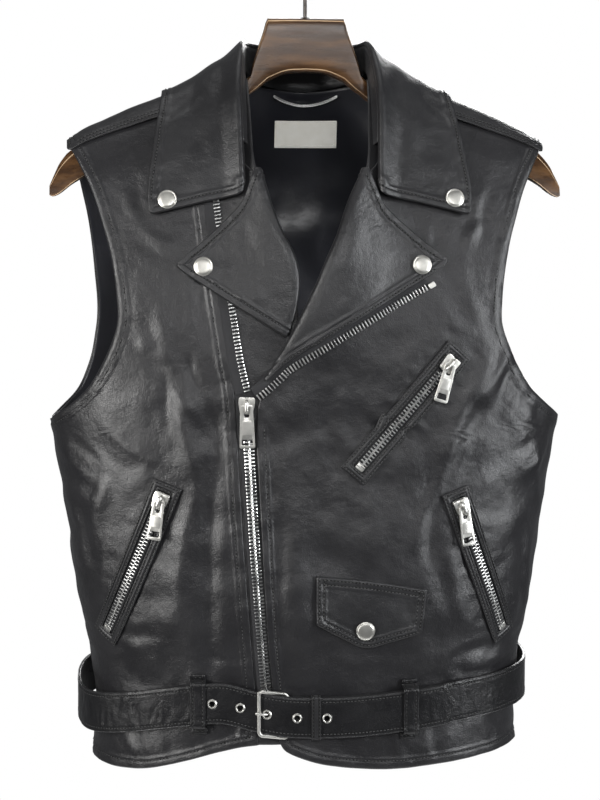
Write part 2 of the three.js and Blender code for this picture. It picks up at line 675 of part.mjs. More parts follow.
// A lapel turned back along its roll line. The roll bends round the front's edge.
const LAPEL_ROLL = [
  { inward: 0.9, lift: 0.5, flat: 3.1 },
  { inward: 0.9, lift: 2.2, flat: 3.8 },
  { inward: 0.1, lift: 3.6, flat: 4.2 },
];
const LAPEL_COLUMNS = 8;
const LAPEL_ROWS = 13;
function lapel({ name, roll, lower, tip, upper, lift, over, flatBelow }) {
  const side = Math.sign(tip[0][0]);
  const rollPlaces = trace(roll, LAPEL_ROWS);
  const lowerPlaces = trace(lower, LAPEL_COLUMNS);
  const upperPlaces = trace(upper, LAPEL_COLUMNS);
  const places = fill(lowerPlaces, trace(tip, LAPEL_ROWS), upperPlaces, rollPlaces);
  const grid = LAPEL_ROLL.map((row, k) => places[0].map((place) => {
    const turned = smooth(formPoint(place.turn, place.climb).z, flatBelow, flatBelow + 22);
    const inward = mix(0.9 - 0.4 * k, row.inward, turned);
    return skin(walk(place, -side * inward, inward * 0.45), mix(row.flat, row.lift, turned), over);
  }));
  places.forEach((list, i) => {
    if (i === 0) return;
    grid.push(list.map((place) => skin(place, mix(4.4, lift, smooth(i, 0, 3)), over)));
  });
  add(name, wall(side > 0 ? grid : grid.reverse(), LEATHER), "leather");
}

const LAPEL_LEFT_LIFT = ON_PANEL + 1.2;
const LAPEL_RIGHT_LIFT = 5.4;
function lapels() {
  lapel({
    name: "lapel_left",
    roll: [[-40, 335], [-24, 361.5], ...ROLL_LEFT.slice(3), [46, 513]],
    lower: [[-40, 335], [-31, 344], [-20, 353], [12, 372], [63, 402], [100, 423], [112, 430]],
    tip: [[112, 430], [115, 433.5], [115, 437], [112, 440]],
    upper: [[46, 513], [52, 500], [57, 488], [64, 477], [84, 460], [101, 447], [112, 440]],
    lift: LAPEL_LEFT_LIFT, over: true, flatBelow: 344,
  });
  lapel({
    name: "lapel_right",
    roll: [[-24.5, 373], [-19, 385], ...ROLL_RIGHT.slice(2), [-46, 513]],
    lower: [[-24.5, 373], [-34, 379], [-45, 386], [-66, 399], [-98, 419], [-110, 427]],
    tip: [[-110, 427], [-113, 430], [-113, 433], [-110, 436]],
    upper: [[-46, 513], [-51, 500], [-56, 487], [-64, 476], [-88, 454], [-110, 436]],
    lift: LAPEL_RIGHT_LIFT, over: false, flatBelow: 402,
  });
}

// A ribbon over the form along an outline. The profile gives its section: how far aside,
// and how low and high it lies there.
function ribbon(outline, count, profile, over) {
  const line = trace(outline, count);
  const points = line.map((place) => skin(place, 0));
  const stations = line.map((place, i) => {
    const tangent = points[Math.min(i + 1, count - 1)].clone().sub(points[Math.max(i - 1, 0)]).normalize();
    const { out } = frameAt(place);
    const level = new THREE.Vector3(-out.y, out.x, 0).normalize();
    const aside = tangent.clone().cross(out).normalize();
    const right = aside.dot(level);
    const up = aside.dot(UP) / Math.max(Math.hypot(out.x, out.y), 0.2);
    const at = (row, lift) => skin(walk(place, row.aside * right, row.aside * up), lift, over);
    const low = profile.map((row) => at(row, row.low));
    const high = [...profile].reverse().map((row) => at(row, row.high));
    return [...low, ...high];
  });
  return rings(stations);
}

const TAPE_LOW = LEATHER + GAP + 0.1;
const CLOSED_CHAIN = [
  { aside: -7.2, low: TAPE_LOW, high: TAPE_LOW + TAPE },
  { aside: -CHAIN_HALF, low: TAPE_LOW, high: TAPE_LOW + TAPE },
  { aside: -CHAIN_HALF + 0.7, low: TAPE_LOW, high: CHAIN_HIGH },
  { aside: CHAIN_HALF - 0.7, low: TAPE_LOW, high: CHAIN_HIGH },
  { aside: CHAIN_HALF, low: TAPE_LOW, high: TAPE_LOW + TAPE },
  { aside: 5.4, low: TAPE_LOW, high: TAPE_LOW + TAPE },
];
const HALF_CHAIN = [
  { aside: -8, low: TAPE_LOW, high: TAPE_LOW + TAPE },
  { aside: 0, low: TAPE_LOW, high: TAPE_LOW + TAPE },
  { aside: 0.6, low: TAPE_LOW, high: CHAIN_HIGH },
  { aside: 4.2, low: TAPE_LOW, high: CHAIN_HIGH },
];
const LAPEL_CHAIN = [
  { aside: -7, low: TAPE_LOW, high: TAPE_LOW + TAPE },
  { aside: 0.8, low: TAPE_LOW, high: TAPE_LOW + TAPE },
  { aside: 1.2, low: TAPE_LOW, high: CHAIN_HIGH },
  { aside: 5.4, low: TAPE_LOW, high: CHAIN_HIGH },
];
const SLIDER_LONG = 15;

function mainZip() {
  const low = [...ZIP_LINE.slice(0, -1), [-56.3, 303]];
  add("zip_main_closed", ribbon(low, 14, CLOSED_CHAIN, false), "tape");
  add("zip_main_right", ribbon([[-58.8, 324], ...ZIP_LINE_UPPER.slice(1)], 10, HALF_CHAIN, false), "tape");
  const edge = [[-44, 327], [-31, 338.5], [-20, 348.5], [12, 367.5], [63, 397.5], [98, 417]];
  add("zip_main_left", ribbon(edge, 10, LAPEL_CHAIN, true), "tape");
}

// A frame at a place on the form: Z straight up, X level along the cloth, -Y out of it,
// then leaned over within the cloth
function upright(place, lift, over = false, lean = 0) {
  const out = frameAt(place).out.clone().setZ(0).normalize();
  const level = new THREE.Vector3(-out.y, out.x, 0);
  const basis = new THREE.Matrix4().makeBasis(level, out.clone().negate(), UP);
  const position = skin(place, 0, over).addScaledVector(out, lift);
  const quaternion = new THREE.Quaternion().setFromRotationMatrix(basis);
  quaternion.multiply(new THREE.Quaternion().setFromAxisAngle(new THREE.Vector3(0, 1, 0), lean));
  return { position, quaternion };
}

// A slider: a body over the teeth with a top plate, and a bridge that the pull hangs from.
// Its own frame has Y pointing into the cloth, so heights off the cloth are minus Y.
const PLATE_LOW = 3.2;
const PLATE_HIGH = 4.6;
const PIVOT_OUT = PLATE_HIGH + 1.6;
function sliderSolid(slant) {
  const section = new THREE.Shape([[-5.2, 0], [5.2, 0], [5.2, PLATE_LOW], [7, PLATE_LOW], [7, PLATE_HIGH],
    [-7, PLATE_HIGH], [-7, PLATE_LOW], [-5.2, PLATE_LOW]].map(([x, y]) => new THREE.Vector2(x, y)));
  const body = new THREE.ExtrudeGeometry(section, { depth: SLIDER_LONG, bevelEnabled: false });
  body.rotateX(Math.PI);
  body.rotateY(Math.PI);
  body.translate(0, 0, -SLIDER_LONG / 2);
  body.rotateY(slant);
  const arch = new THREE.Shape([[-6.4, PLATE_HIGH - 0.5], [-6.4, PIVOT_OUT + 1.5], [-4.8, PIVOT_OUT + 3.1],
    [3.2, PIVOT_OUT + 3.1], [5.4, PIVOT_OUT + 0.6], [5.4, PLATE_HIGH - 0.5], [3.8, PLATE_HIGH - 0.5],
    [3.8, PIVOT_OUT], [2.6, PIVOT_OUT + 1.6], [-4, PIVOT_OUT + 1.6], [-4.9, PIVOT_OUT + 0.7],
    [-4.9, PLATE_HIGH - 0.5]].map(([z, out]) => new THREE.Vector2(z, out)));
  const bridge = new THREE.ExtrudeGeometry(arch, { depth: 2, bevelEnabled: false });
  const turned = new THREE.Matrix4().makeBasis(
    new THREE.Vector3(0, 0, 1), new THREE.Vector3(0, -1, 0), new THREE.Vector3(1, 0, 0));
  bridge.applyMatrix4(turned);
  bridge.translate(-1, 0, 0);
  return joined(body, bridge);
}

// The pull: a plate with a slot that the bridge passes through and a window near its end
function pullSolid(wide, long) {
  const shape = new THREE.Shape();
  const half = wide / 2;
  const neck = half - 1.3;
  const round = 1.6;
  shape.moveTo(-neck + round, 1);
  shape.lineTo(neck - round, 1);
  shape.quadraticCurveTo(neck, 1, neck, 1 - round);
  shape.lineTo(half, -long + round);
  shape.quadraticCurveTo(half, -long, half - round, -long);
  shape.lineTo(-half + round, -long);
  shape.quadraticCurveTo(-half, -long, -half, -long + round);
  shape.lineTo(-neck, 1 - round);
  shape.quadraticCurveTo(-neck, 1, -neck + round, 1);
  const hole = (x, top, low) => new THREE.Path([[-x, top], [-x, low], [x, low], [x, top]]
    .map(([a, b]) => new THREE.Vector2(a, b)));
  shape.holes.push(hole(2.2, -1, -9.6), hole(half - 1.9, -long + 7.4, -long + 2.6));
  const plate = new THREE.ExtrudeGeometry(shape, { depth: 1.4, bevelEnabled: false, curveSegments: 3 });
  plate.translate(0, 0, -0.7);
  plate.rotateX(Math.PI / 2);
  return plate;
}

// The slider lies along its teeth at slant. Its bridge and pull lean less.
function sliderAndPull({ name, place, lift, slant, lean, wide, long, over }) {
  add(`slider_${name}`, sliderSolid(slant - lean), "nickel", upright(place, lift, over, lean));
  add(`pull_${name}`, pullSolid(wide, long), "nickel", upright(place, lift + PIVOT_OUT, over, lean));
}

// A closed leather frame round a pocket zip, between two ends of its middle line
const POCKET_PULL_LONG = 33.5;
function pocket({ name, from, to, slant, lean, wide, lift }) {
  const halfWide = wide / 2;
  const halfSlot = 5.6;
  const endBand = 7;
  const steps = 11;
  const start = new THREE.Vector2(...from);
  const end = new THREE.Vector2(...to);
  const at = (share) => start.clone().lerp(end, share);
  const placeAt = (share) => spot(at(share).x, at(share).y);
  const base = [];
  for (let i = 0; i <= steps; i += 1) base.push(placeAt(i / steps));
  const length = skin(base[0], 0).distanceTo(skin(base[steps], 0));
  const aside = (place, step) => {
    const index = clamp(Math.round(step * steps), 1, steps - 1);
    const along = skin(base[index + 1], 0).sub(skin(base[index - 1], 0)).normalize();
    const { out } = frameAt(place);
    const side = along.clone().cross(out).normalize();
    const level = new THREE.Vector3(-out.y, out.x, 0).normalize();
    return { right: side.dot(level), up: side.z / Math.max(Math.hypot(out.x, out.y), 0.2) };
  };
  const loop = (halfWidth, inset) => {
    const list = [];
    for (const way of [1, -1]) {
      for (let i = 0; i <= steps; i += 1) {
        const step = way > 0 ? i / steps : 1 - i / steps;
        const share = mix(inset / length, 1 - inset / length, step);
        const place = placeAt(share);
        const { right, up } = aside(place, step);
        list.push(walk(place, way * halfWidth * right, way * halfWidth * up));
      }
    }
    return list;
  };
  const outer = loop(halfWide, 0);
  const inner = loop(halfSlot, endBand);
  const stations = outer.map((place, i) => [
    skin(place, lift), skin(place, lift + WELT_THICK),
    skin(inner[i], lift + WELT_THICK), skin(inner[i], lift)]);
  add(`welt_${name}`, rings(stations, true), "leather");
  const top = (endBand + 8.4) / length;
  const low = (endBand + 1) / length;
  const line = [at(1 - low), at(0.6), at(0.3), at(top + 9 / length)].map((p) => [p.x, p.y]);
  const halfTape = halfSlot - 1;
  const profile = [
    { aside: -halfTape, low: lift, high: lift + TAPE },
    { aside: -3, low: lift, high: lift + 1.9 },
    { aside: 3, low: lift, high: lift + 1.9 },
    { aside: halfTape, low: lift, high: lift + TAPE },
  ];
  add(`zip_${name}`, ribbon(line, 10, profile, false), "tape");
  sliderAndPull({
    name, place: placeAt(top), lift: lift + 0.5, slant, lean, wide: 12.6, long: POCKET_PULL_LONG, over: false,
  });
}

function pockets() {
  const slots = [
    { name: "chest", from: [126.5, 359], to: [33, 252.5], slant: 0.72, lean: 0.28, wide: 25,
      lift: WELT_LIFT },
    { name: "hand_right", from: [-124, 246], to: [-178, 109.5], slant: 0.38, lean: 0.15, wide: 26,
      lift: WELT_LIFT },
    { name: "hand_left", from: [122.5, 238], to: [170.5, 106], slant: -0.36, lean: -0.15, wide: 25,
      lift: WELT_LIFT - 0.4 },
  ];
  for (const slot of slots) pocket(slot);
}

// The coin pocket's flap, five-sided with its point off the middle
function coinFlap() {
  const { left, right, topLeft, topRight, low, lowRight, point, pointX } = FLAP_SIDES;
  const columns = 9;
  const rows = 6;
  const top = trace([[left, topLeft], [(left + right) / 2, 161.5], [right, topRight]], columns);
  const bottom = trace([[left, low], [pointX, point], [right - 4, lowRight]], columns)
    .map((place, i) => {
      const x = mix(left, right - 4, i / (columns - 1));
      const z = x < pointX
        ? mix(low, point, (x - left) / (pointX - left))
        : mix(point, lowRight, (x - pointX) / (right - 4 - pointX));
      return spot(x, z);
    });
  const sides = (from, to) => Array.from({ length: rows }, (_, j) => spot(
    mix(from[0], to[0], j / (rows - 1)), mix(from[1], to[1], j / (rows - 1))));
  const places = fill(bottom, sides([right - 4, lowRight], [right, topRight]), top,
    sides([left, low], [left, topLeft]));
  add("coin_flap", wall(lifted(places, ON_PANEL, true), LEATHER), "leather");
}

// A press-stud cap, turned about the way out of the cloth
function snap(name, x, z, lift, over) {
  const radius = SNAP_DIAMETER / 2;
  const profile = [[0, 0], [radius, 0], [radius, 1], [radius - 0.9, 2], [radius * 0.55, 2.7], [0, 2.9]]
    .map(([r, h]) => new THREE.Vector2(r, h));
  const cap = new THREE.LatheGeometry(profile, 16);
  const place = spot(x, z);
  const { out } = frameAt(place);
  const quaternion = new THREE.Quaternion().setFromUnitVectors(new THREE.Vector3(0, 1, 0), out);
  add(name, cap, "nickel", { position: skin(place, lift, over), quaternion });
}

function snaps() {
  const onCollar = FALL_LIFT + LEATHER - 0.9;
  snap("snap_collar_right", -122, 486, onCollar, false);
  snap("snap_collar_left", 123.5, 487.5, onCollar, false);
  snap("snap_lapel_right", -92, 430, LAPEL_RIGHT_LIFT + LEATHER + 0.5, false);
  snap("snap_lapel_left", 93.5, 431.5, LAPEL_LEFT_LIFT + LEATHER + 0.5, true);
  snap("snap_coin_flap", 43.7, 120, ON_PANEL + LEATHER + 0.5, true);
}

// The belt: one strap round the body, its free end passing over its buckle end
function beltFrame(angle) {
  const wrapped = angle > 180 ? angle - 360 : angle;
  const z = column(BELT_PATH, "angle", wrapped, "z");
  const atBack = Math.abs(wrapped) > 90;
  const turn = atBack ? Math.sign(wrapped) * (180 - Math.abs(wrapped)) : wrapped;
  const rise = z / UNDERARM_Z;
  const place = { turn, climb: atBack ? 4 - rise : rise };
  const out = frameAt(place).out.clone().setZ(0).normalize();
  const layer = BELT_LAYER * smooth(angle, BELT_RISE_FROM, BELT_RISE_TO);
  const off = column(BELT_PATH, "angle", wrapped, "off") + layer;
  const base = formPoint(place.turn, place.climb).addScaledVector(out, off);
  return { base, out, level: new THREE.Vector3(-out.y, out.x, 0) };
}

// The way straight out of the strap where it climbs over its other end
function beltOut(angle) {
  const run = beltFrame(angle + 0.6).base.sub(beltFrame(angle - 0.6).base).setZ(0).normalize();
  return new THREE.Vector3(run.y, -run.x, 0);
}

function beltAngles() {
  const list = [];
  for (let angle = BELT_START; angle < 60; angle += 8) list.push(angle);
  for (let angle = 60; angle < 300; angle += 6) list.push(angle);
  for (let angle = 300; angle < BELT_RISE_FROM; angle += 7) list.push(angle);
  for (let angle = BELT_RISE_FROM; angle < BELT_RISE_TO; angle += 2) list.push(angle);
  for (let angle = BELT_RISE_TO; angle < BELT_TIP - BELT_TIP_TAPER - 2; angle += 5) list.push(angle);
  return [...list, BELT_TIP - BELT_TIP_TAPER, BELT_TIP];
}

// The angle round the body at which the belt's front is a given distance across
function beltAngle(x, whole = 0) {
  const half = column(BELOW, "z", 50, "half");
  return whole + Math.sign(x) * degrees(Math.asin((Math.abs(x) / half) ** (SECTION_POWER / 2)));
}

const EYELETS = [-85.8, -62.5, -40, -15, 10.4];
const HOLE_RADIUS = 3.1;
function belt() {
  const grid = beltAngles().map((angle) => {
    const { base } = beltFrame(angle);
    const narrow = mix(1, 0.16, smooth(angle, BELT_TIP - BELT_TIP_TAPER, BELT_TIP));
    return [-1, 0, 1].map((share) => base.clone().setZ(base.z + share * BELT_HALF * narrow));
  });
  let strap = toManifold(wall(grid, BELT_THICK));
  EYELETS.forEach((x, i) => {
    const angle = beltAngle(x, 360);
    const { base } = beltFrame(angle);
    const out = beltOut(angle);
    const place = {
      position: base.clone(),
      quaternion: new THREE.Quaternion().setFromUnitVectors(UP, out),
    };
    const drill = new THREE.CylinderGeometry(HOLE_RADIUS, HOLE_RADIUS, 3 * BELT_THICK, 12);
    drill.rotateX(Math.PI / 2);
    drill.applyQuaternion(place.quaternion);
    drill.translate(...base.clone().addScaledVector(out, BELT_THICK / 2).toArray());
    strap = strap.subtract(toManifold(drill));
    add(`eyelet_${i + 1}`, eyeletSolid(), "nickel", place);
  });
  add("belt_strap", fromManifold(strap), "leather");
}

function eyeletSolid() {
  const inner = EYELET_HOLE / 2;
  const outer = EYELET_DIAMETER / 2;
  const top = BELT_THICK + GAP;
  const ring = [[inner, 0], [inner + 0.3, 0], [inner + 0.3, top], [outer, top],
    [outer - 0.7, top + 0.9], [inner + 0.4, top + 0.9], [inner, 0]]
    .map(([r, h]) => new THREE.Vector2(r, h));
  const geometry = new THREE.LatheGeometry(ring, 12);
  geometry.rotateX(Math.PI / 2);
  return geometry;
}

// A tube of an oval section along a list of points, closed in a loop or capped
function tube(points, normal, wide, thick, around, loop) {
  const count = points.length;
  const stations = points.map((point, i) => {
    const next = loop ? points[(i + 1) % count] : points[Math.min(i + 1, count - 1)];
    const last = loop ? points[(i + count - 1) % count] : points[Math.max(i - 1, 0)];
    const tangent = next.clone().sub(last).normalize();
    const side = tangent.clone().cross(normal).normalize();
    const lift = side.clone().cross(tangent).normalize();
    return Array.from({ length: around }, (_, j) => {
      const angle = (2 * Math.PI * j) / around;
      return point.clone().addScaledVector(side, Math.cos(angle) * wide / 2)
        .addScaledVector(lift, Math.sin(angle) * thick / 2);
    });
  });
  return rings(stations, loop);
}

// The buckle: a frame whose outer bar lies over the strap and whose hinge bar lies under it
const BUCKLE_HALF = 19.1;
function buckle() {
  const outer = beltFrame(beltAngle(-47, 360));
  const hinge = beltFrame(beltAngle(-23, 0));
  const bar = outer.base.clone().addScaledVector(outer.out, BELT_THICK + 2.5);
  const pivot = hinge.base.clone().addScaledVector(hinge.out, 0.6);
  const along = pivot.clone().sub(bar);
  const normal = along.clone().cross(UP).normalize();
  const corner = 3.4;
  const path = [];
  const corners = [[0, -1], [1, -1], [1, 1], [0, 1]];
  corners.forEach(([u, v], index) => {
    for (let k = 0; k <= 4; k += 1) {
      const angle = ((index + 2) * 90 + k * 22.5) * Math.PI / 180;
      const centreU = mix(corner, along.length() - corner, u);
      const centreV = v * (BUCKLE_HALF - corner);
      path.push([centreU + corner * Math.cos(angle), centreV + corner * Math.sin(angle)]);
    }
  });
  const unit = along.clone().normalize();
  const points = path.map(([u, v]) => bar.clone().addScaledVector(unit, u).addScaledVector(UP, v));
  add("buckle_frame", tube(points, normal, 3.2, 3, 8, true), "nickel");
  const prongPath = [
    [21.2, -1.1], [15, -1.9], [9.6, -3.6], [7.4, -2.8], [7, 1.4], [5, 2.8], [1, 3.3], [-2.8, 3],
  ];
  const start = bar.clone().addScaledVector(UP, 0.3);
  const prong = prongPath.map(([u, lift]) => (
    start.clone().addScaledVector(unit, u).addScaledVector(normal, lift)));
  add("buckle_prong", tube(prong, UP, 2.2, 2.2, 8, false), "nickel");
}

// A leather ring that keeps the belt's free end down
function keeper() {
  const middle = beltFrame(beltAngle(1.2, 0));
  const half = BELT_HALF + 0.7;
  const low = -0.6;
  const high = BELT_LAYER + BELT_THICK + 0.6;
  const thick = 1.3;
  const wide = 8;
  const box = (grow) => [[low - grow, -half - grow], [high + grow, -half - grow], [high + grow, half + grow],
    [low - grow, half + grow]].map(([a, b]) => new THREE.Vector2(a, b));
  const shape = new THREE.Shape(box(thick));
  shape.holes.push(new THREE.Path(box(0)));
  const ring = new THREE.ExtrudeGeometry(shape, { depth: wide, bevelEnabled: false });
  ring.applyMatrix4(new THREE.Matrix4().makeBasis(middle.out, UP, middle.level.clone().negate()));
  const position = middle.base.clone().addScaledVector(middle.level, wide / 2);
  add("belt_keeper", ring, "leather", { position, quaternion: new THREE.Quaternion() });
}

// A leather loop sewn to the vest that the belt runs through
function beltLoop(name, angle, layers, over) {
  const { base, out, level } = beltFrame(angle);
  const wrapped = angle > 180 ? angle - 360 : angle;
  const high = (layers > 1 ? BELT_LAYER : 0) + BELT_THICK + 0.5;
  const wide = 12.4;
  const path = [
    { up: -26, foot: true }, { up: -20.8, foot: true }, { up: -18.8, foot: false },
    { up: 0, foot: false }, { up: 18.8, foot: false }, { up: 20.8, foot: true }, { up: 26, foot: true },
  ];
  const atBack = Math.abs(wrapped) > 90;
  const turn = atBack ? Math.sign(wrapped) * (180 - Math.abs(wrapped)) : wrapped;
  const columns = [-1, 0, 1].map((share) => path.map(({ up, foot }) => {
    const shifted = base.clone().addScaledVector(level, share * wide / 2);
    if (!foot) return shifted.addScaledVector(out, high).addScaledVector(UP, up);
    const rise = (base.z + up) / UNDERARM_Z;
    const place = walk({ turn, climb: atBack ? 4 - rise : rise }, share * wide / 2, 0);
    return skin(place, ON_PANEL + 0.5, over);
  }));
  add(name, wall(columns, LEATHER), "leather");
}

function beltLoops() {
  beltLoop("belt_loop_front_right", beltAngle(-97.6), 1, false);
  beltLoop("belt_loop_front_left", beltAngle(82), 2, true);
  beltLoop("belt_loop_back_right", -152, 1, false);
  beltLoop("belt_loop_back_left", 152, 1, false);
}

// Label and hang loop at the inside of the back neck
const LABEL_THICK = 1;
const LABEL_LIFT = -LINING_DEEP - LABEL_THICK - 1.8;
function neckTrim() {
  const columns = 8;
  const grid = Array.from({ length: columns }, (_, i) => {
    const x = mix(-25, 33.5, i / (columns - 1));
    return [538.5, 550, 562.5].map((z) => skin(spot(x, z, true), LABEL_LIFT));
  });
  add("neck_label", wall(grid.reverse(), LABEL_THICK), "label");
  const ends = [-27, 33];
  const count = 11;
  const points = Array.from({ length: count }, (_, i) => {
    const share = i / (count - 1);
    const x = mix(ends[0], ends[1], share);
    const sag = 8 * (1 - (2 * share - 1) ** 2);
    return skin(spot(x, 585 - sag, true), LABEL_LIFT - 0.7);
  });
  add("hang_loop", tube(points, UP, 2.2, 2.2, 6, false), "nickel");
}

// The hanger: a flat-topped neck block and arms that widen, drop and curve forward
const HANGER_SIDES = 12;
const TUCK = { top: 6.2, front: 9, back: 8, from: 48 };
function tucked(point) {
  const x = Math.abs(point.x);
  if (x < TUCK.from) return point;
  const z = Math.min(point.z, shoulderZ(x) - TUCK.top);
  const place = (back) => spot(x, z, back);
  const front = formPoint(place(false).turn, place(false).climb).y + TUCK.front;
  const rear = formPoint(place(true).turn, place(true).climb).y - TUCK.back;
  return new THREE.Vector3(point.x, clamp(point.y, Math.min(front, rear), Math.max(front, rear)), z);
}

function hanger() {
  const stations = [];
  const xs = [];
  for (const { x } of HANGER.slice(1).reverse()) xs.push(-x);
  for (const { x } of HANGER) xs.push(x);
  const dense = xs.flatMap((x, i) => (i < xs.length - 1 && Math.abs(x) > 50 && Math.abs(xs[i + 1] - x) > 18
    ? [x, (x + xs[i + 1]) / 2] : [x]));
  for (const x of dense) {
    const value = (name) => column(HANGER, "x", Math.abs(x), name);
    const top = Math.abs(x) < 34 ? HANGER[0].top : value("top");
    const centre = (top + value("bottom")) / 2;
    const high = (top - value("bottom")) / 2;
    const deep = value("deep");
    const arm = smooth(Math.abs(x), 60, 170);
    const ring = [];
    for (let j = 0; j < HANGER_SIDES; j += 1) {
      const angle = (2 * Math.PI * (j + 0.5)) / HANGER_SIDES;
      const power = mix(0.32, 0.62, arm);
      const across = Math.sign(Math.cos(angle)) * Math.abs(Math.cos(angle)) ** power;
      const up = Math.sign(Math.sin(angle)) * Math.abs(Math.sin(angle)) ** power;
      const tilt = arm * 0.16 * deep * across;
      ring.push(tucked(new THREE.Vector3(x, value("y") + deep * across, centre + high * up + tilt)));
    }
    stations.push(ring);
  }
  add("hanger_body", rings(stations), "wood");
}

// The hook: a straight stem that swings out and round, back over the middle
function hook() {
  const points = [];
  for (const z of [648.4, 654, 660]) points.push(new THREE.Vector3(0, 0, z));
  const swing = 9;
  const steps = 5;
  const join = Math.acos((HOOK_CENTRE_Z - 664) / (HOOK_RADIUS + swing) * 0.999);
  const sideCentre = new THREE.Vector3(Math.sin(join) * (HOOK_RADIUS + swing), 0, 664);
  for (let i = 0; i <= steps; i += 1) {
    const angle = Math.PI - (i / steps) * (Math.PI / 2 - join) * 1.0;
    points.push(new THREE.Vector3(
      sideCentre.x + swing * Math.cos(angle) - (sideCentre.x - swing), 0, 664 + swing * Math.sin(angle)));
  }
  const from = points.at(-1);
  const startAngle = Math.atan2(from.z - HOOK_CENTRE_Z, from.x);
  const startRadius = Math.hypot(from.z - HOOK_CENTRE_Z, from.x);
  const endAngle = radians(205);
  const turns = 20;
  for (let i = 1; i <= turns; i += 1) {
    const angle = mix(startAngle, endAngle, i / turns);
    const radius = mix(startRadius, HOOK_RADIUS, smooth(i / turns, 0, 0.25));
    points.push(new THREE.Vector3(radius * Math.cos(angle), 0, HOOK_CENTRE_Z + radius * Math.sin(angle)));
  }
  add("hanger_hook", tube(points, new THREE.Vector3(0, 1, 0), HOOK_WIRE, HOOK_WIRE, 8, false), "steel");
}

function build() {
  frontLeft();
  frontRight();
  frontExtension();
  back();
  epaulette(1);
  epaulette(-1);
  collar();
  lapels();
  mainZip();
  sliderAndPull({
    name: "main", place: spot(-57, 313.5), lift: LEATHER + 0.8, slant: 0.04, lean: -0.02,
    wide: 13.4, long: 36, over: false,
  });
  pockets();
  coinFlap();
  snaps();
  belt();
  buckle();
  keeper();
  beltLoops();
  neckTrim();
  hanger();
  hook();
}

build();
export default vest;
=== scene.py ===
"""A black leather biker vest on a contoured wooden hanger.

Shapes are worked out in millimetres, with heights above the hem line, on the same
hollow form as the solids. make_mesh() turns them into metres in the part's frame,
whose origin is the point inside the hook where a rail bears.
"""
import math

import bmesh
import bpy
import numpy as np
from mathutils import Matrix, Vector


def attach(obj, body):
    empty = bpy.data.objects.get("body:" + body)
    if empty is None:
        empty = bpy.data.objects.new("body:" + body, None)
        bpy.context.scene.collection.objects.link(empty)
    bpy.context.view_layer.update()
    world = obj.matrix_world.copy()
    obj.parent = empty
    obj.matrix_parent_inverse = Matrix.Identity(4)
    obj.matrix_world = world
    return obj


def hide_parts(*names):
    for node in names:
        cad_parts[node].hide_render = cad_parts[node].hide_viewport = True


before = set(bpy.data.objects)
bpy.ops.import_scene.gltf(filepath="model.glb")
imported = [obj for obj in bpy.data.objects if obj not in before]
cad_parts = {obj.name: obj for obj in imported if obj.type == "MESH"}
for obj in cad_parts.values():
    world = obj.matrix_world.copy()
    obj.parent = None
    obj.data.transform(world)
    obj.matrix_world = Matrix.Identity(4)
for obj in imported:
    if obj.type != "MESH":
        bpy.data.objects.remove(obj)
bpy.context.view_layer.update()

MM = 0.001
LEATHER = 1.6
LINING = 1.0
LINING_DEEP = LINING + 0.6
ON_PANEL = LEATHER + 0.8
TAPE_LOW = LEATHER + 0.4
TAPE = 0.6
CHAIN_HIGH = 4.2
WELT_THICK = 1.5
WELT_LIFT = ON_PANEL + 0.5
FALL_LIFT = 7.3
LAPEL_LEFT_LIFT = ON_PANEL + 1.2
LAPEL_RIGHT_LIFT = 5.4
BELT_HALF = 17
BELT_THICK = 2.6
BELT_LAYER = BELT_THICK + 0.5
LABEL_LIFT = -LINING_DEEP - 2.8
OVERLAP_LIFT = 3.2
OVERLAP_FULL = 24
OVERLAP_GONE = 74

UNDERARM_Z = 294
SECTION_POWER = 2.4
PROFILE_POWER = 1.8
NECK_PROFILE_EXTRA = 1.6
NECK_PROFILE_REACH = 45
RIDGE_EASE = 1.8
RIDGE_FORWARD = 10
RIDGE_FORWARD_AT = 200
RIDGE = 999
SEAM = 999
SEAM_TURN = 89.94
RIDGE_CLIMB = 1.996
HOOK_WIRE = 3.4
HOOK_RADIUS = 20
HOOK_CENTRE_Z = 692
HOOK_SEAT_Z = HOOK_CENTRE_Z + HOOK_RADIUS - HOOK_WIRE / 2
STITCH_PITCH = 3.1
TOOTH_PITCH = 3.1
TOOTH_THICK = 1.45
SHARP_ANGLE = math.radians(28)
# Size of the near-black tube laid under each row of stitches: painted shade of the stitch groove
PAINTED_GROOVE_SHADE_WIDE, PAINTED_GROOVE_SHADE_THICK = 1.15, 0.5
SIDES = ("left", "right", "bottom", "top")

UP = np.array([0.0, 0.0, 1.0])


def columns(names, *rows):
    """A table as a dictionary of columns."""
    return {name: np.array([row[i] for row in rows], float) for i, name in enumerate(names.split())}


# Sections of the form below the underarm, and above it by share of the way to the ridge
BELOW = columns(
    "z half front back",
    (-30, 191, 93, 84), (0, 190, 92, 84), (45, 188, 92, 82), (90, 193, 94, 83),
    (130, 201, 98, 85), (190, 209, 97, 82), (250, 219, 93, 76), (294, 226, 90, 72))
ABOVE = columns(
    "share half front back",
    (0, 226, 90, 72), (0.46, 240, 89, 70), (0.85, 275, 85, 66), (1, 300, 80, 60))
SHOULDER = columns(
    "x z", (0, 612), (40, 605.5), (75, 594.5), (130, 574.5), (190, 549), (208, 537), (240, 508))

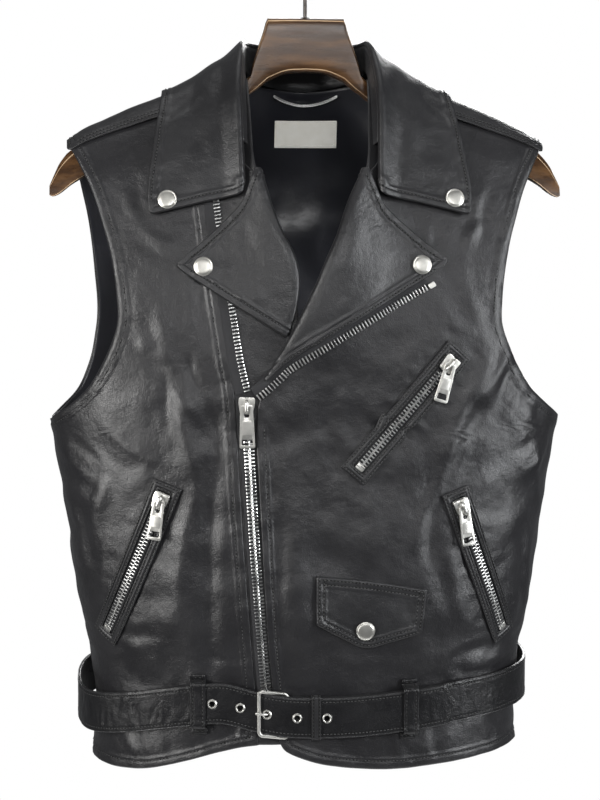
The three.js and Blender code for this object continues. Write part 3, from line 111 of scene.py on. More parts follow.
# Large folds, as in the solids, then the smaller creases that only show here.
# Each runs from one point to another: width, height (minus is a trough), bend sideways.
FOLDS = columns(
    "x0 z0 x1 z1 wide high bend back",
    (-116, 330, -100, 246, 12, 4.0, 0, 0), (-90, 316, -78, 250, 10, -2.4, 0, 0),
    (-194, 256, -198, 150, 12, 3.0, 0, 0), (162, 362, 112, 262, 12, 4.2, 0, 0),
    (148, 318, 128, 276, 10, -2.4, 0, 0), (188, 318, 198, 246, 11, 3.2, 0, 0),
    (130, 84, 172, 88, 11, 2.6, 0, 0), (-160, 100, -126, 94, 12, 2.6, 0, 0),
    (-150, 300, -60, 150, 18, 4.0, 0, 1), (140, 280, 70, 130, 16, 3.6, 0, 1),
    (-40, 470, 40, 448, 16, -2.6, 0, 1), (186, 300, 196, 190, 13, 3.0, 0, 1),
    (-184, 290, -196, 180, 13, 3.2, 0, 1))
CREASES = columns(
    "x0 z0 x1 z1 wide high bend back",
    # Right front: from the underarm inwards, down the side and over the hip
    (-180, 300, -128, 262, 4.5, 1.3, 5, 0), (-192, 288, -150, 252, 3.6, -1.2, 3, 0),
    (-126, 338, -112, 268, 3.6, -1.5, 4, 0), (-106, 300, -92, 226, 3.2, -1.1, -3, 0),
    (-168, 226, -178, 142, 5.0, 1.2, 4, 0), (-150, 210, -160, 128, 4.2, -0.9, -3, 0),
    (-122, 212, -128, 112, 6.0, 0.9, 4, 0), (-98, 190, -104, 116, 4.6, -0.8, 3, 0),
    (-204, 236, -190, 170, 3.4, -1.3, -4, 0),
    (-188, 132, -142, 112, 4.0, -1.0, 5, 0), (-176, 96, -96, 104, 5.0, 1.1, -6, 0),
    (-96, 100, -60, 96, 3.4, -0.9, 3, 0), (-130, 400, -118, 340, 6.5, 1.0, 3, 0),
    (-100, 442, -96, 384, 5.6, -0.8, -3, 0), (-150, 468, -110, 446, 6.0, 0.9, 4, 0),
    (-152, 520, -140, 470, 5.0, -0.8, 4, 0), (-166, 30, -152, 4, 3.2, 1.1, 0, 0),
    (-104, 38, -90, 12, 3.0, 1.3, 2, 0), (-76, 44, -62, 22, 2.8, -1.2, 2, 0),
    (-176, 256, -184, 182, 6.5, 2.2, 3, 0), (-102, 236, -120, 108, 8.0, 2.6, 5, 0),
    (-84, 268, -88, 74, 7.5, -3.0, 4, 0), (-212, 288, -174, 264, 3.4, -1.0, 4, 0),
    (-214, 270, -182, 246, 3.0, 0.9, 4, 0), (-208, 250, -180, 236, 3.0, -0.9, 3, 0),
    (-204, 234, -184, 226, 2.8, 0.8, 2, 0), (-118, 322, -84, 282, 4.4, 1.4, -4, 0),
    (-106, 356, -92, 318, 4.6, -1.3, 3, 0),
    (-148, 372, -122, 352, 5.4, 1.2, 4, 0), (-114, 86, -104, 40, 5.0, -1.0, 3, 0),
    (-84, 76, -80, 34, 4.6, 1.2, -3, 0), (-146, 40, -140, 6, 3.4, 1.1, 2, 0),
    (-128, 34, -120, 4, 4.0, -0.9, 0, 0), (-58, 46, -66, 22, 2.6, 1.0, 0, 0),
    # Left front: from the underarm to the chest pocket, beside the pockets, over the belt
    (172, 366, 146, 318, 3.8, 1.6, -4, 0), (180, 352, 158, 300, 3.4, -1.4, 3, 0),
    (192, 332, 168, 286, 3.6, 1.3, 4, 0), (206, 316, 188, 262, 3.2, -1.3, 4, 0),
    (136, 300, 104, 244, 4.0, -1.2, -4, 0), (120, 262, 92, 196, 4.6, 0.9, 4, 0),
    (200, 280, 206, 212, 3.6, 1.3, 3, 0), (184, 214, 190, 142, 4.2, -1.0, -3, 0),
    (112, 210, 124, 136, 5.0, 0.8, 3, 0), (20, 236, 26, 182, 6.0, 0.7, 3, 0),
    (-20, 286, -28, 226, 4.2, 0.9, 2, 0), (-10, 196, -16, 112, 5.0, -0.7, 3, 0),
    (60, 262, 66, 196, 6.5, -0.7, 4, 0), (116, 96, 180, 104, 4.2, 1.3, -5, 0),
    (124, 78, 176, 80, 3.0, -1.3, 3, 0), (14, 96, 90, 92, 5.0, 0.8, 4, 0),
    (130, 440, 148, 380, 6.5, 1.0, 5, 0), (108, 470, 116, 420, 5.4, -0.7, 3, 0),
    (160, 500, 148, 448, 4.8, -0.8, 3, 0), (70, 30, 76, -2, 4.0, 0.8, 0, 0),
    (212, 296, 178, 270, 3.2, -0.9, -4, 0), (214, 278, 184, 250, 3.0, 0.9, -3, 0),
    (208, 258, 184, 240, 3.0, -0.8, -3, 0), (102, 246, 122, 276, 3.8, 1.6, 3, 0),
    (92, 238, 112, 268, 3.2, -1.3, 3, 0), (-14, 236, -12, 92, 9.0, 2.6, 3, 0),
    (108, 232, 100, 176, 5.0, -1.4, 4, 0), (122, 196, 134, 118, 5.6, 1.6, 4, 0),
    (196, 196, 200, 120, 4.0, 1.5, 3, 0), (30, 330, 24, 280, 6.0, 1.0, 4, 0),
    (6, 300, 18, 250, 5.0, -1.0, -3, 0), (152, 470, 132, 440, 5.0, 1.1, 4, 0),
    (104, 36, 110, 2, 3.6, -0.9, 2, 0), (38, 34, 44, 2, 3.6, 0.9, -2, 0),
    (170, 70, 176, 30, 4.2, 1.2, 3, 0),
    (150, 32, 158, 2, 3.4, 1.0, 0, 0), (6, 36, -6, 10, 3.6, -0.8, 0, 0),
    # Back: from each underarm inwards, across the blades and above the belt
    (-196, 316, -120, 260, 5.0, 1.5, 6, 1), (-190, 296, -130, 232, 4.2, -1.3, 5, 1),
    (-150, 250, -96, 176, 5.0, 1.2, -4, 1), (194, 312, 126, 262, 4.6, 1.4, -6, 1),
    (188, 292, 134, 236, 4.4, -1.2, -4, 1), (128, 240, 92, 160, 5.4, 1.1, 4, 1),
    (-60, 220, -66, 120, 7.0, 0.9, 4, 1), (10, 240, 4, 130, 8.0, -0.9, 5, 1),
    (62, 212, 70, 120, 6.0, 0.8, -4, 1), (-120, 96, -40, 104, 4.6, 1.3, -5, 1),
    (30, 106, 116, 98, 5.0, 1.2, 5, 1), (-160, 84, -100, 92, 3.6, -1.0, 4, 1),
    (120, 88, 168, 96, 3.8, -1.0, -4, 1), (-90, 500, -30, 484, 6.0, 0.9, 4, 1),
    (36, 486, 100, 504, 6.0, 0.9, 4, 1), (-130, 430, -100, 350, 7.0, 0.9, 5, 1),
    (134, 424, 104, 352, 6.6, 0.9, -5, 1), (-150, 36, -142, 4, 3.6, 1.1, 0, 1),
    (-60, 38, -54, 4, 4.6, 0.9, 0, 1), (44, 38, 50, 4, 4.2, -0.9, 0, 1),
    (138, 38, 146, 6, 3.6, 1.1, 0, 1))

# Outlines of the pieces. Each point is (across, height above the hem line).
ZIP_LINE = [(-38, 34), (-41, 68), (-44, 104), (-48, 156), (-52, 216), (-55, 276), (-57, 314)]
ZIP_LINE_UPPER = [(-59, 326), (-65, 352), (-72, 399), (-78, 437), (-83, 478), (-84, 488)]
RIGHT_EDGE_LOW = [(-48, 20), (-51, 68), (-54, 104), (-58, 156), (-62, 216), (-65, 276), (-66, 294)]
RIGHT_EDGE_HIGH = [(-66, 294), (-68, 324), (-73, 352), (-80, 399), (-86, 437), (-91, 478), (-93, 506),
                   (-88, 540), (-76, 572)]
LEFT_EDGE_LOW = [(-31, 27), (-35, 67), (-39, 110), (-42, 156), (-45, 216), (-48, 275), (-48.5, 294)]
ROLL_LEFT = [(-47, 312), (-40, 330), (-24, 360), (-6, 395), (4, 416), (13, 437), (22, 457), (32, 486),
             (42, 506)]
ROLL_RIGHT = [(-24, 369), (-19, 384), (-15, 405), (-14, 424), (-19, 443), (-28, 461), (-36, 482), (-43, 506)]
ARMHOLE_FRONT = [(226, 296), (209, 310), (191, 327), (178, 348), (170, 366), (165, 384), (165.5, 404),
                 (169, 433), (176, 462), (186, 494), (195, 514), (204, 531)]
ARMHOLE_BACK = [(226, 296), (215, 306), (202, 321), (193, 342), (188, 364), (185, 392), (187, 424),
                (191, 465), (198, 502), (204, 531)]
HEM_LEFT = [(-31, 27), (-24, 15), (-3, 6), (17, 1), (47, -3), (75, -4), (101, -3), (133, -1), (159, 1),
            (180, 3)]
HEM_RIGHT = [(-184, -6), (-164, -7), (-142, -5), (-122, 0), (-102, 6), (-81, 13), (-62, 18), (-48, 20)]
NECK_X = 61
EXTENSION_TOP = 5

COLLAR = columns(
    "innerX innerZ outerX outerZ back stand upright",
    (60, 491, 138, 474, 0, 3, 0), (58, 512, 138, 497, 0, 4, 0), (58, 540, 134, 526, 0, 6, 0.1),
    (58, 570, 130, 551, 0, 11, 0.4), (58, 590, 127, 566, 0, 17, 0.8), (57, RIDGE, 124, RIDGE, 0, 21, 1),
    (52, 595, 121, 557, 1, 27, 1), (38, 591, 100, 541, 1, 30, 1), (19, 588, 52, 535, 1, 32, 1),
    (0, 587, 0, 533, 1, 32, 1))

BELT_PATH = columns(
    "angle z off",
    (-180, 68, 5), (-135, 64, 9), (-105, 55, 14), (-90, 46, 15), (-75, 40, 13), (-57, 43, 8),
    (-30, 54, 6), (-20, 57, 6.6), (-11, 50, 7.4), (-4, 46, 7.6), (5, 45, 7.4), (20, 48, 6),
    (40, 53, 5.6), (60, 56, 6), (82, 60, 9), (110, 66, 11), (135, 68, 9), (180, 68, 5))
BELT_START = -3.8
BELT_RISE_FROM = 347.5
BELT_RISE_TO = 355.5
BELT_TIP = 395.5
BELT_TIP_TAPER = 3.4
EYELETS = [-85.8, -62.5, -40, -15, 10.4]
HOLE_WIDE = 6.2

HANGER = columns(
    "x top bottom y deep",
    (0, 648, 601.5, 0, 11), (18, 648, 600, 0, 11), (33.5, 648, 593.5, 0, 11), (37, 637, 591, 0, 11),
    (44, 617, 585.5, 0, 11.5), (50, 598, 581.5, 0, 12), (57, 592.5, 576, 0.5, 12),
    (75, 590.6, 568, -0.5, 14), (110, 578, 556, -2, 15.5), (150, 562, 538, -5, 17),
    (185, 546, 515, -10, 18.5), (205, 533, 503, -14, 19), (216, 520.5, 494.5, -17, 17),
    (222, 508, 492, -19, 12.5), (225, 501, 493, -20, 7))
TUCK = {"top": 6.2, "front": 9, "back": 8, "from": 48}


# Numbers
def smooth(value, low, high):
    t = np.clip((value - low) / (high - low), 0, 1)
    return t * t * (3 - 2 * t)


def mix(a, b, share):
    return a + (b - a) * share


def unit(vectors):
    return vectors / np.maximum(np.linalg.norm(vectors, axis=-1, keepdims=True), 1e-9)


def column(table, key, at, name):
    """Smooth value of one column of a table at a key between its rows."""
    keys, values = table[key], table[name]
    last = len(keys) - 1
    at = np.clip(at, keys[0], keys[-1])
    row = np.clip(np.searchsorted(keys, at, side="left") - 1, 0, last - 1)

    def slope(index):
        low, high = np.maximum(index - 1, 0), np.minimum(index + 1, last)
        return (values[high] - values[low]) / (keys[high] - keys[low])

    span = keys[row + 1] - keys[row]
    t = (at - keys[row]) / span
    t2, t3 = t * t, t * t * t
    return ((2 * t3 - 3 * t2 + 1) * values[row] + (t3 - 2 * t2 + t) * span * slope(row)
            + (3 * t2 - 2 * t3) * values[row + 1] + (t3 - t2) * span * slope(row + 1))


def shoulder_z(x):
    return column(SHOULDER, "x", np.abs(x), "z")


# The form. A place is (turn, climb): turn is -90 at the right seam and 90 at the left one,
# climb is 0 front hem, 1 front underarm, 2 shoulder ridge, 3 back underarm, 4 back hem.
def form_point(place):
    turn, climb = place[..., 0], place[..., 1]
    at_back = climb > 2
    rise = np.where(at_back, 4 - climb, climb)
    out = np.abs(np.sin(np.radians(turn))) ** (2 / SECTION_POWER)
    deep = np.maximum(np.cos(np.radians(turn)), 0) ** (2 / SECTION_POWER)
    side, way = np.sign(turn), np.where(at_back, 1.0, -1.0)
    z = rise * UNDERARM_Z
    depth = np.where(at_back, column(BELOW, "z", z, "back"), column(BELOW, "z", z, "front"))
    low = np.stack([side * column(BELOW, "z", z, "half") * out, way * depth * deep, z], -1)
    share = 1 - np.clip(2 - rise, 0, 1) ** RIDGE_EASE
    x = column(ABOVE, "share", share, "half") * out
    power = PROFILE_POWER + NECK_PROFILE_EXTRA * np.exp(-((x / NECK_PROFILE_REACH) ** 2))
    bulge = np.maximum(1 - share ** power, 0) ** (1 / power)
    forward = RIDGE_FORWARD * (x / RIDGE_FORWARD_AT) ** 2 * share ** 2
    depth = np.where(at_back, column(ABOVE, "share", share, "back"), column(ABOVE, "share", share, "front"))
    y = way * depth * deep * bulge - forward
    high = np.stack([side * x, y, UNDERARM_Z + (shoulder_z(x) - UNDERARM_Z) * share], -1)
    return np.where((rise <= 1)[..., None], low, high)


def spot(x, z, back=False):
    """The place on the form at a given distance across and height, on the front or back."""
    x, z, back = np.broadcast_arrays(np.asarray(x, float), np.asarray(z, float), np.asarray(back))
    above = z > UNDERARM_Z
    share = np.clip((z - UNDERARM_Z) / (shoulder_z(x) - UNDERARM_Z), 0, 1)
    rise = np.where(above, 2 - (1 - share) ** (1 / RIDGE_EASE), z / UNDERARM_Z)
    half = np.where(above, column(ABOVE, "share", share, "half"), column(BELOW, "z", z, "half"))
    reach = np.clip(np.abs(x) / half, 0, 1) ** (SECTION_POWER / 2)
    turn = np.sign(x) * np.clip(np.degrees(np.arcsin(reach)), 0, SEAM_TURN)
    rise = np.minimum(rise, RIDGE_CLIMB)
    return np.stack([turn, np.where(back, 4 - rise, rise)], -1)


def frame_at(place):
    """Directions along the form and out of it."""
    turn, climb = place[..., 0], place[..., 1]
    low, high = np.maximum(turn - 0.4, -90), np.minimum(turn + 0.4, 90)
    step = 0.002
    across = form_point(np.stack([high, climb], -1)) - form_point(np.stack([low, climb], -1))
    across = across / (high - low)[..., None]
    along = form_point(np.stack([turn, climb + step], -1)) - form_point(np.stack([turn, climb - step], -1))
    along = along / (2 * step)
    return across, along, unit(np.cross(across, along))


def fold_lift(x, z, back, table=FOLDS):
    total = np.zeros(np.shape(x))
    for x0, z0, x1, z1, wide, high, bend, at_back in zip(*table.values()):
        run = x1 - x0, z1 - z0
        length = math.hypot(*run)
        along = ((x - x0) * run[0] + (z - z0) * run[1]) / length ** 2
        aside = ((x - x0) * run[1] - (z - z0) * run[0]) / length
        aside = aside - bend * 4 * along * (1 - along)
        fade = smooth(along, -0.12, 0.3) * (1 - smooth(along, 0.7, 1.12))
        shape = np.exp(-((aside / wide) ** 2))
        if table is CREASES:
            shape = shape - 0.45 * np.exp(-(((aside - 1.7 * wide) / (1.1 * wide)) ** 2))
        total = total + np.where(back == bool(at_back), high * fade * shape, 0)
    return total


SWELL = 0.0027


def unevenness(point, seed=7, count=30, finest=13, widest=74):
    """Low swells from overlaid waves, so that no stretch of leather is quite plain."""
    rng = np.random.default_rng(seed)
    total = np.zeros(point.shape[:-1])
    for _ in range(count):
        length = finest * (widest / finest) ** rng.random()
        way = rng.normal(size=3)
        way = way / np.linalg.norm(way) * 2 * math.pi / length
        total = total + length * np.sin(point @ way + rng.random() * 2 * math.pi)
    return total * SWELL * (1.35 - 0.75 * smooth(point[..., 2], 230, 430))


# Each pocket's zip from its slider's end to its other end, slant, lean, width and lift
POCKETS = {
    "chest": ((126.5, 359), (33, 252.5), 0.72, 0.28, 25, WELT_LIFT),
    "hand_right": ((-124, 246), (-178, 109.5), 0.38, 0.15, 26, WELT_LIFT),
    "hand_left": ((122.5, 238), (170.5, 106), -0.36, -0.15, 25, WELT_LIFT - 0.4)}


def by_pockets(x, z, small):
    """Small folds kept under the pockets' frames, and gathered a little beside them."""
    for (x0, z0), (x1, z1), *_ in POCKETS.values():
        run = np.array([x1 - x0, z1 - z0])
        length = np.hypot(*run)
        along = ((x - x0) * run[0] + (z - z0) * run[1]) / length
        aside = ((x - x0) * run[1] - (z - z0) * run[0]) / length
        off = np.hypot(aside, along - np.clip(along, 0, length))
        small = small - np.maximum(small - 0.2, 0) * (1 - smooth(off, 15, 24))
        wave = np.sin(along * 0.36 + 0.8) + 0.8 * np.sin(along * 0.61 + 2.2) + 0.5 * np.sin(along * 0.21)
        small = small + 0.34 * wave * np.exp(-(((off - 17) / 5) ** 2))
    return small


# Where sliders lie on the cloth, which stays even there
CALM = [(-57, 313), (115, 346), (-131, 228), (128, 224)]
CALM_REACH = 15


def calm(x, z, back):
    near = sum(np.exp(-(((x - a) ** 2 + (z - b) ** 2) / CALM_REACH ** 2)) for a, b in CALM)
    return np.where(back, 1, 1 - np.clip(near, 0, 1))


LEFT_EDGE = columns("x z", *LEFT_EDGE_LOW)
ROLL_EDGE = columns("x z", LEFT_EDGE_LOW[-1], *ROLL_LEFT)


def overlap_lift(x, z):
    edge = np.where(z < UNDERARM_Z, column(LEFT_EDGE, "z", z, "x"), column(ROLL_EDGE, "z", z, "x"))
    return OVERLAP_LIFT * (1 - smooth(x - edge, OVERLAP_FULL, OVERLAP_GONE)) * (1 - smooth(z, 430, 500))


def surface_lift(point, place, over, plain):
    """Height of the cloth off the form at a point of it. Plain leaves out the small creases."""
    x, z, back = point[..., 0], point[..., 2], place[..., 1] > 2
    total = fold_lift(x, z, back) + (overlap_lift(x, z) if over else 0)
    if plain:
        return total
    inland = 1 - smooth(np.abs(place[..., 0]), 80, 89)
    small = fold_lift(x, z, back, CREASES) * inland + unevenness(point)
    small = np.where(back, small, by_pockets(x, z, small))
    return total + small * calm(x, z, back)


def skin(place, lift, over=False, plain=False):
    """A point off the form, with the cloth's folds; over says that it lies on the left front."""
    place = np.asarray(place, float)
    point = form_point(place)
    total = lift + surface_lift(point, place, over, plain)
    return point + frame_at(place)[2] * np.asarray(total)[..., None]


def walk(place, right, up):
    """The place reached by walking a short way over the form."""
    across, along, out = frame_at(place)
    level = unit(np.stack([-out[..., 1], out[..., 0], np.zeros(out.shape[:-1])], -1))
    rise = np.cross(out, level)
    rise = rise * np.sign(rise[..., 2:3] + 1e-9)
    way = level * np.asarray(right)[..., None] + rise * np.asarray(up)[..., None]
    aa, bb = (across * across).sum(-1), (along * along).sum(-1)
    ab = (across * along).sum(-1)
    wa, wb = (way * across).sum(-1), (way * along).sum(-1)
    determinant = aa * bb - ab * ab
    turn = np.clip(place[..., 0] + (wa * bb - wb * ab) / determinant, -90, 90)
    return np.stack([turn, place[..., 1] + (wb * aa - wa * ab) / determinant], -1)


# Curves and grids
def lengths(line):
    """How far along a line each of its points is."""
    return np.concatenate([[0], np.cumsum(np.linalg.norm(np.diff(line, axis=0), axis=1))])


def read_off(at, keys, values):
    """Rows of values at places between their keys."""
    return np.stack([np.interp(at, keys, values[:, k]) for k in range(values.shape[1])], -1)


def circle(count):
    return np.arange(count) * 2 * math.pi / count


def catmull(points, shares):
    """Points at shares of the length of a smooth curve through the given points."""
    points = np.asarray(points, float)
    count = len(points) - 1
    t = np.linspace(0, count, count * 24 + 1)
    index = np.minimum(t.astype(int), count - 1)
    f = (t - index)[:, None]
    p0, p1 = points[np.maximum(index - 1, 0)], points[index]
    p2, p3 = points[index + 1], points[np.minimum(index + 2, count)]
    v0, v1 = (p2 - p0) / 2, (p3 - p1) / 2
    dense = (2 * p1 - 2 * p2 + v0 + v1) * f ** 3 + (-3 * p1 + 3 * p2 - 2 * v0 - v1) * f ** 2 + v0 * f + p1
    at = lengths(dense)
    return read_off(np.asarray(shares) * at[-1], at, dense)


def trace(outline, shares, back=False):
    """Places along an outline given as (across, height)."""
    if any(abs(x) == SEAM for x, _ in outline):
        (x, low), (_, high) = outline
        return spot(np.full(len(shares), float(x)), mix(low, high, np.asarray(shares)), back)
    line = catmull(outline, shares)
    return spot(line[:, 0], line[:, 1], back)


def chain(shares, *parts):
    """Places along parts that follow one another. Each part is (weight, function of shares)."""
    total = sum(weight for weight, _ in parts)
    result = np.zeros((len(shares), 2))
    start = 0.0
    for weight, part in parts:
        end = start + weight / total
        inside = (shares >= start - 1e-9) & (shares <= end + 1e-9)
        if inside.any():
            result[inside] = part(np.clip((shares[inside] - start) / (end - start), 0, 1))
        start = end
    return result


def between(a, b):
    """A part of a chain that runs straight between two places."""
    a, b = np.asarray(a), np.asarray(b)
    return lambda shares: mix(a, b, shares[:, None])


def along_outline(outline, back=False):
    return lambda shares: trace(outline, shares, back)


def spread(length, low=True, high=True, band=11, fine=1.2, coarse=3.6):
    """Shares of a length, closer together near its ends."""
    cuts = [0.0]
    while cuts[-1] < length:
        near = min(cuts[-1] if low else 1e9, length - cuts[-1] if high else 1e9)
        cuts.append(cuts[-1] + mix(fine, coarse, float(smooth(near, band, band + 14))))
    return np.array(cuts) / cuts[-1]


def fill(u, v, bottom, right, top, left):
    """Places filling the space between four sides: columns by u, rows by v."""
    u, v = u[:, None, None], v[None, :, None]
    sides = mix(bottom[:, None], top[:, None], v) + mix(left[None], right[None], u)
    corners = mix(mix(bottom[0], bottom[-1], u), mix(top[0], top[-1], u), v)
    return sides - corners


def normals(grid):
    return unit(np.cross(np.gradient(grid, axis=0), np.gradient(grid, axis=1)))


def round_corners(grid, radius, first=True, last=True, low=True, high=True):
    """The same grid with rounded corners, from shorter lines along it near its sides."""
    result = grid.copy()
    beside_ends = (lengths(grid[0]), first), (lengths(grid[-1]), last)
    for j in range(grid.shape[1]):
        cuts = []
        for along, wanted in beside_ends:
            near = min(along[j] if low else radius, along[-1] - along[j] if high else radius)
            depth = max(radius - near, 0) if wanted else 0
            cuts.append(radius - math.sqrt(max(radius ** 2 - depth ** 2, 0)))
        at = lengths(grid[:, j])
        wanted_at = mix(cuts[0], at[-1] - cuts[1], at / at[-1])
        result[:, j] = read_off(wanted_at, at, grid[:, j])
    return result


# Turned edges, in millimetres from the edge and off the cloth
HEM = {"band": 8.0, "stitch": 6.4, "raised": 0.95, "groove": 0.8, "pucker": 0.42}
TRIM = {"band": 7.0, "stitch": 5.4, "raised": 0.9, "groove": 0.8, "pucker": 0.34}
SEAM_EDGE = {"band": 1.6, "stitch": 0.0, "raised": -0.9, "groove": 0.0, "pucker": 0.25}


def distance_to(points, line):
    """How far points are from a line, how far along it, and its nearest point."""
    flat = points.reshape(-1, 3)
    tangent = unit(np.gradient(line, axis=0))
    squares = (flat ** 2).sum(1)[:, None] + (line ** 2).sum(1) - 2 * flat @ line.T
    nearest = squares.argmin(1)
    offset = flat - line[nearest]
    inside = (nearest > 0) & (nearest < len(line) - 1)
    run = np.where(inside, (offset * tangent[nearest]).sum(1), 0)
    distance = np.linalg.norm(offset - tangent[nearest] * run[:, None], axis=1)
    return distance, lengths(line)[nearest] + run, nearest


def relief(grid, edges):
    """Turned and stitched edges, with the small puckers that their thread pulls.
    Each edge is (line, style, how much of it along the line)."""
    count = grid.shape[0] * grid.shape[1]
    near, along_near, amount_near = np.full(count, 1e3), np.zeros(count), np.zeros(count)
    total, sewn = np.zeros(count), None
    for line, style, share in edges:
        distance, along, nearest = distance_to(grid, line)
        amount = np.broadcast_to(share, len(line))[nearest]
        if not style["stitch"]:
            total += style["raised"] * (1 - smooth(distance, style["band"], style["band"] + 2.4)) * amount
            continue
        sewn = style
        closer = (distance < near) & (amount > 0.02)
        near = np.where(closer, distance, near)
        along_near, amount_near = np.where(closer, along, along_near), np.where(closer, amount, amount_near)
    if sewn:
        aside = near - sewn["stitch"]
        band = sewn["raised"] * (1 - smooth(near, sewn["band"] - 0.6, sewn["band"] + 2.6))
        wave = (np.sin(along_near * 0.71) + 0.7 * np.sin(along_near * 0.47 + 1.3)
                + 0.5 * np.sin(along_near * 0.23 + 0.4) + 0.6 * np.sin(along_near * 1.13 + 2))
        pull = sewn["pucker"] * 0.5 * wave * np.exp(-((aside / 4.4) ** 2))
        total += (band + pull - sewn["groove"] * np.exp(-((aside / 0.95) ** 2))) * amount_near
    return total.reshape(grid.shape[:2])


def border(grid, side):
    return {"left": grid[0], "right": grid[-1], "bottom": grid[:, 0], "top": grid[:, -1]}[side]


def sewn_edges(grid, style, sides=SIDES):
    """A grid with its edges turned in and sewn along the given sides."""
    return grid + normals(grid) * relief(grid, [(border(grid, side), style, 1) for side in sides])[..., None]


def beside(line, aside):
    """Places at a distance to the side of a line of places. Plus is along tangent x out."""
    tangent = unit(np.gradient(form_point(line), axis=0))
    out = frame_at(line)[2]
    level = unit(np.stack([-out[:, 1], out[:, 0], 0 * out[:, 0]], -1))
    side = unit(np.cross(tangent, out))
    right = (side * level).sum(-1)
    rise = side[:, 2] / np.maximum(np.hypot(out[:, 0], out[:, 1]), 0.2)
    return walk(line, aside * right, aside * rise)


# Meshes
MATERIALS = {}
STITCHES = {}


def make_mesh(name, points, faces, material, node=None, smooth_shade=True):
    """A piece of the visual model, in place of a node of the solids or beside them."""
    mesh = bpy.data.meshes.new(name)
    points = (np.asarray(points, float).reshape(-1, 3) - UP * HOOK_SEAT_Z) * MM
    mesh.from_pydata(points.tolist(), [], [list(map(int, face)) for face in faces])
    mesh.validate()
    shader, slot = MATERIALS[material]
    mesh.materials.append(shader)
    if smooth_shade:
        mesh.shade_smooth()
        if slot in ("nickel", "wood"):
            mesh.set_sharp_from_angle(angle=SHARP_ANGLE)
    piece = bpy.data.objects.new(name, mesh)
    bpy.context.scene.collection.objects.link(piece)
    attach(piece, "root")
    if node:
        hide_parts(node)
    return piece


def grid_quads(count_i, count_j, start=0, wrap_i=False, wrap_j=False):
    i, j = np.meshgrid(np.arange(count_i - (not wrap_i)), np.arange(count_j - (not wrap_j)), indexing="ij")
    i, j = i.ravel(), j.ravel()
    i2, j2 = (i + 1) % count_i, (j + 1) % count_j
    return start + np.stack([i * count_j + j, i2 * count_j + j, i2 * count_j + j2, i * count_j + j2], -1)


def facing_out(points, faces):
    """Turns all faces round if the closed mesh is inside out."""
    triangles = np.concatenate([faces[:, [0, 1, 2]], faces[:, [0, 2, 3]]])
    a, b, c = points[triangles[:, 0]], points[triangles[:, 1]], points[triangles[:, 2]]
    volume = np.einsum("ij,ij->i", a, np.cross(b, c)).sum()
    return faces if volume > 0 else faces[:, ::-1]


def closed_rings(rings):
    """Points and faces of rings that follow one another in a loop."""
    flat = rings.reshape(-1, 3)
    return flat, facing_out(flat, grid_quads(*rings.shape[:2], wrap_i=True, wrap_j=True))


def capped_rings(rings):
    """Points and faces of rings that follow one another, closed at both ends."""
    count, around = rings.shape[:2]
    flat = rings.reshape(-1, 3)
    quads = grid_quads(count, around, wrap_j=True)
    faces = facing_out(flat, quads)
    caps = [list(range(around))[::-1], [(count - 1) * around + k for k in range(around)]]
    if faces is not quads:
        caps = [cap[::-1] for cap in caps]
    return flat, [list(face) for face in faces] + caps


def prisms(count, flip=False):
    """Faces of as many small six-sided bodies, each of four rings."""
    one = [list(face) for face in grid_quads(4, 6, wrap_j=True)] + [list(range(6))[::-1], list(range(18, 24))]
    if flip:
        one = [face[::-1] for face in one]
    return [[index + 24 * k for index in face] for k in range(count) for face in one]


def wall(outer, inner, rim=0.42):
    """Points and faces of a closed wall between two grids, with a rounded rim."""
    m, n = outer.shape[:2]
    border = ([(i, 0) for i in range(m)] + [(m - 1, j) for j in range(1, n)]
              + [(i, n - 1) for i in range(m - 2, -1, -1)] + [(0, j) for j in range(n - 2, 0, -1)])
    i, j = np.array(border).T
    near_i, near_j = np.clip(i, 1, m - 2), np.clip(j, 1, n - 2)
    away = unit(outer[i, j] - outer[near_i, near_j])
    thick = np.linalg.norm(outer[i, j] - inner[i, j], axis=-1, keepdims=True)
    edge = (outer[i, j] + inner[i, j]) / 2 + away * thick * rim
    points = np.concatenate([outer.reshape(-1, 3), inner.reshape(-1, 3), edge])
    count = m * n
    k = np.arange(len(border))
    k2 = (k + 1) % len(border)
    a, a2 = (i * n + j), (i * n + j)[k2]
    r, r2 = 2 * count + k, 2 * count + k2
    faces = np.concatenate([
        grid_quads(m, n), grid_quads(m, n, count)[:, ::-1],
        np.stack([a2, a, r, r2], -1), np.stack([a + count, a2 + count, r2, r], -1)])
    return points, facing_out(points, faces)


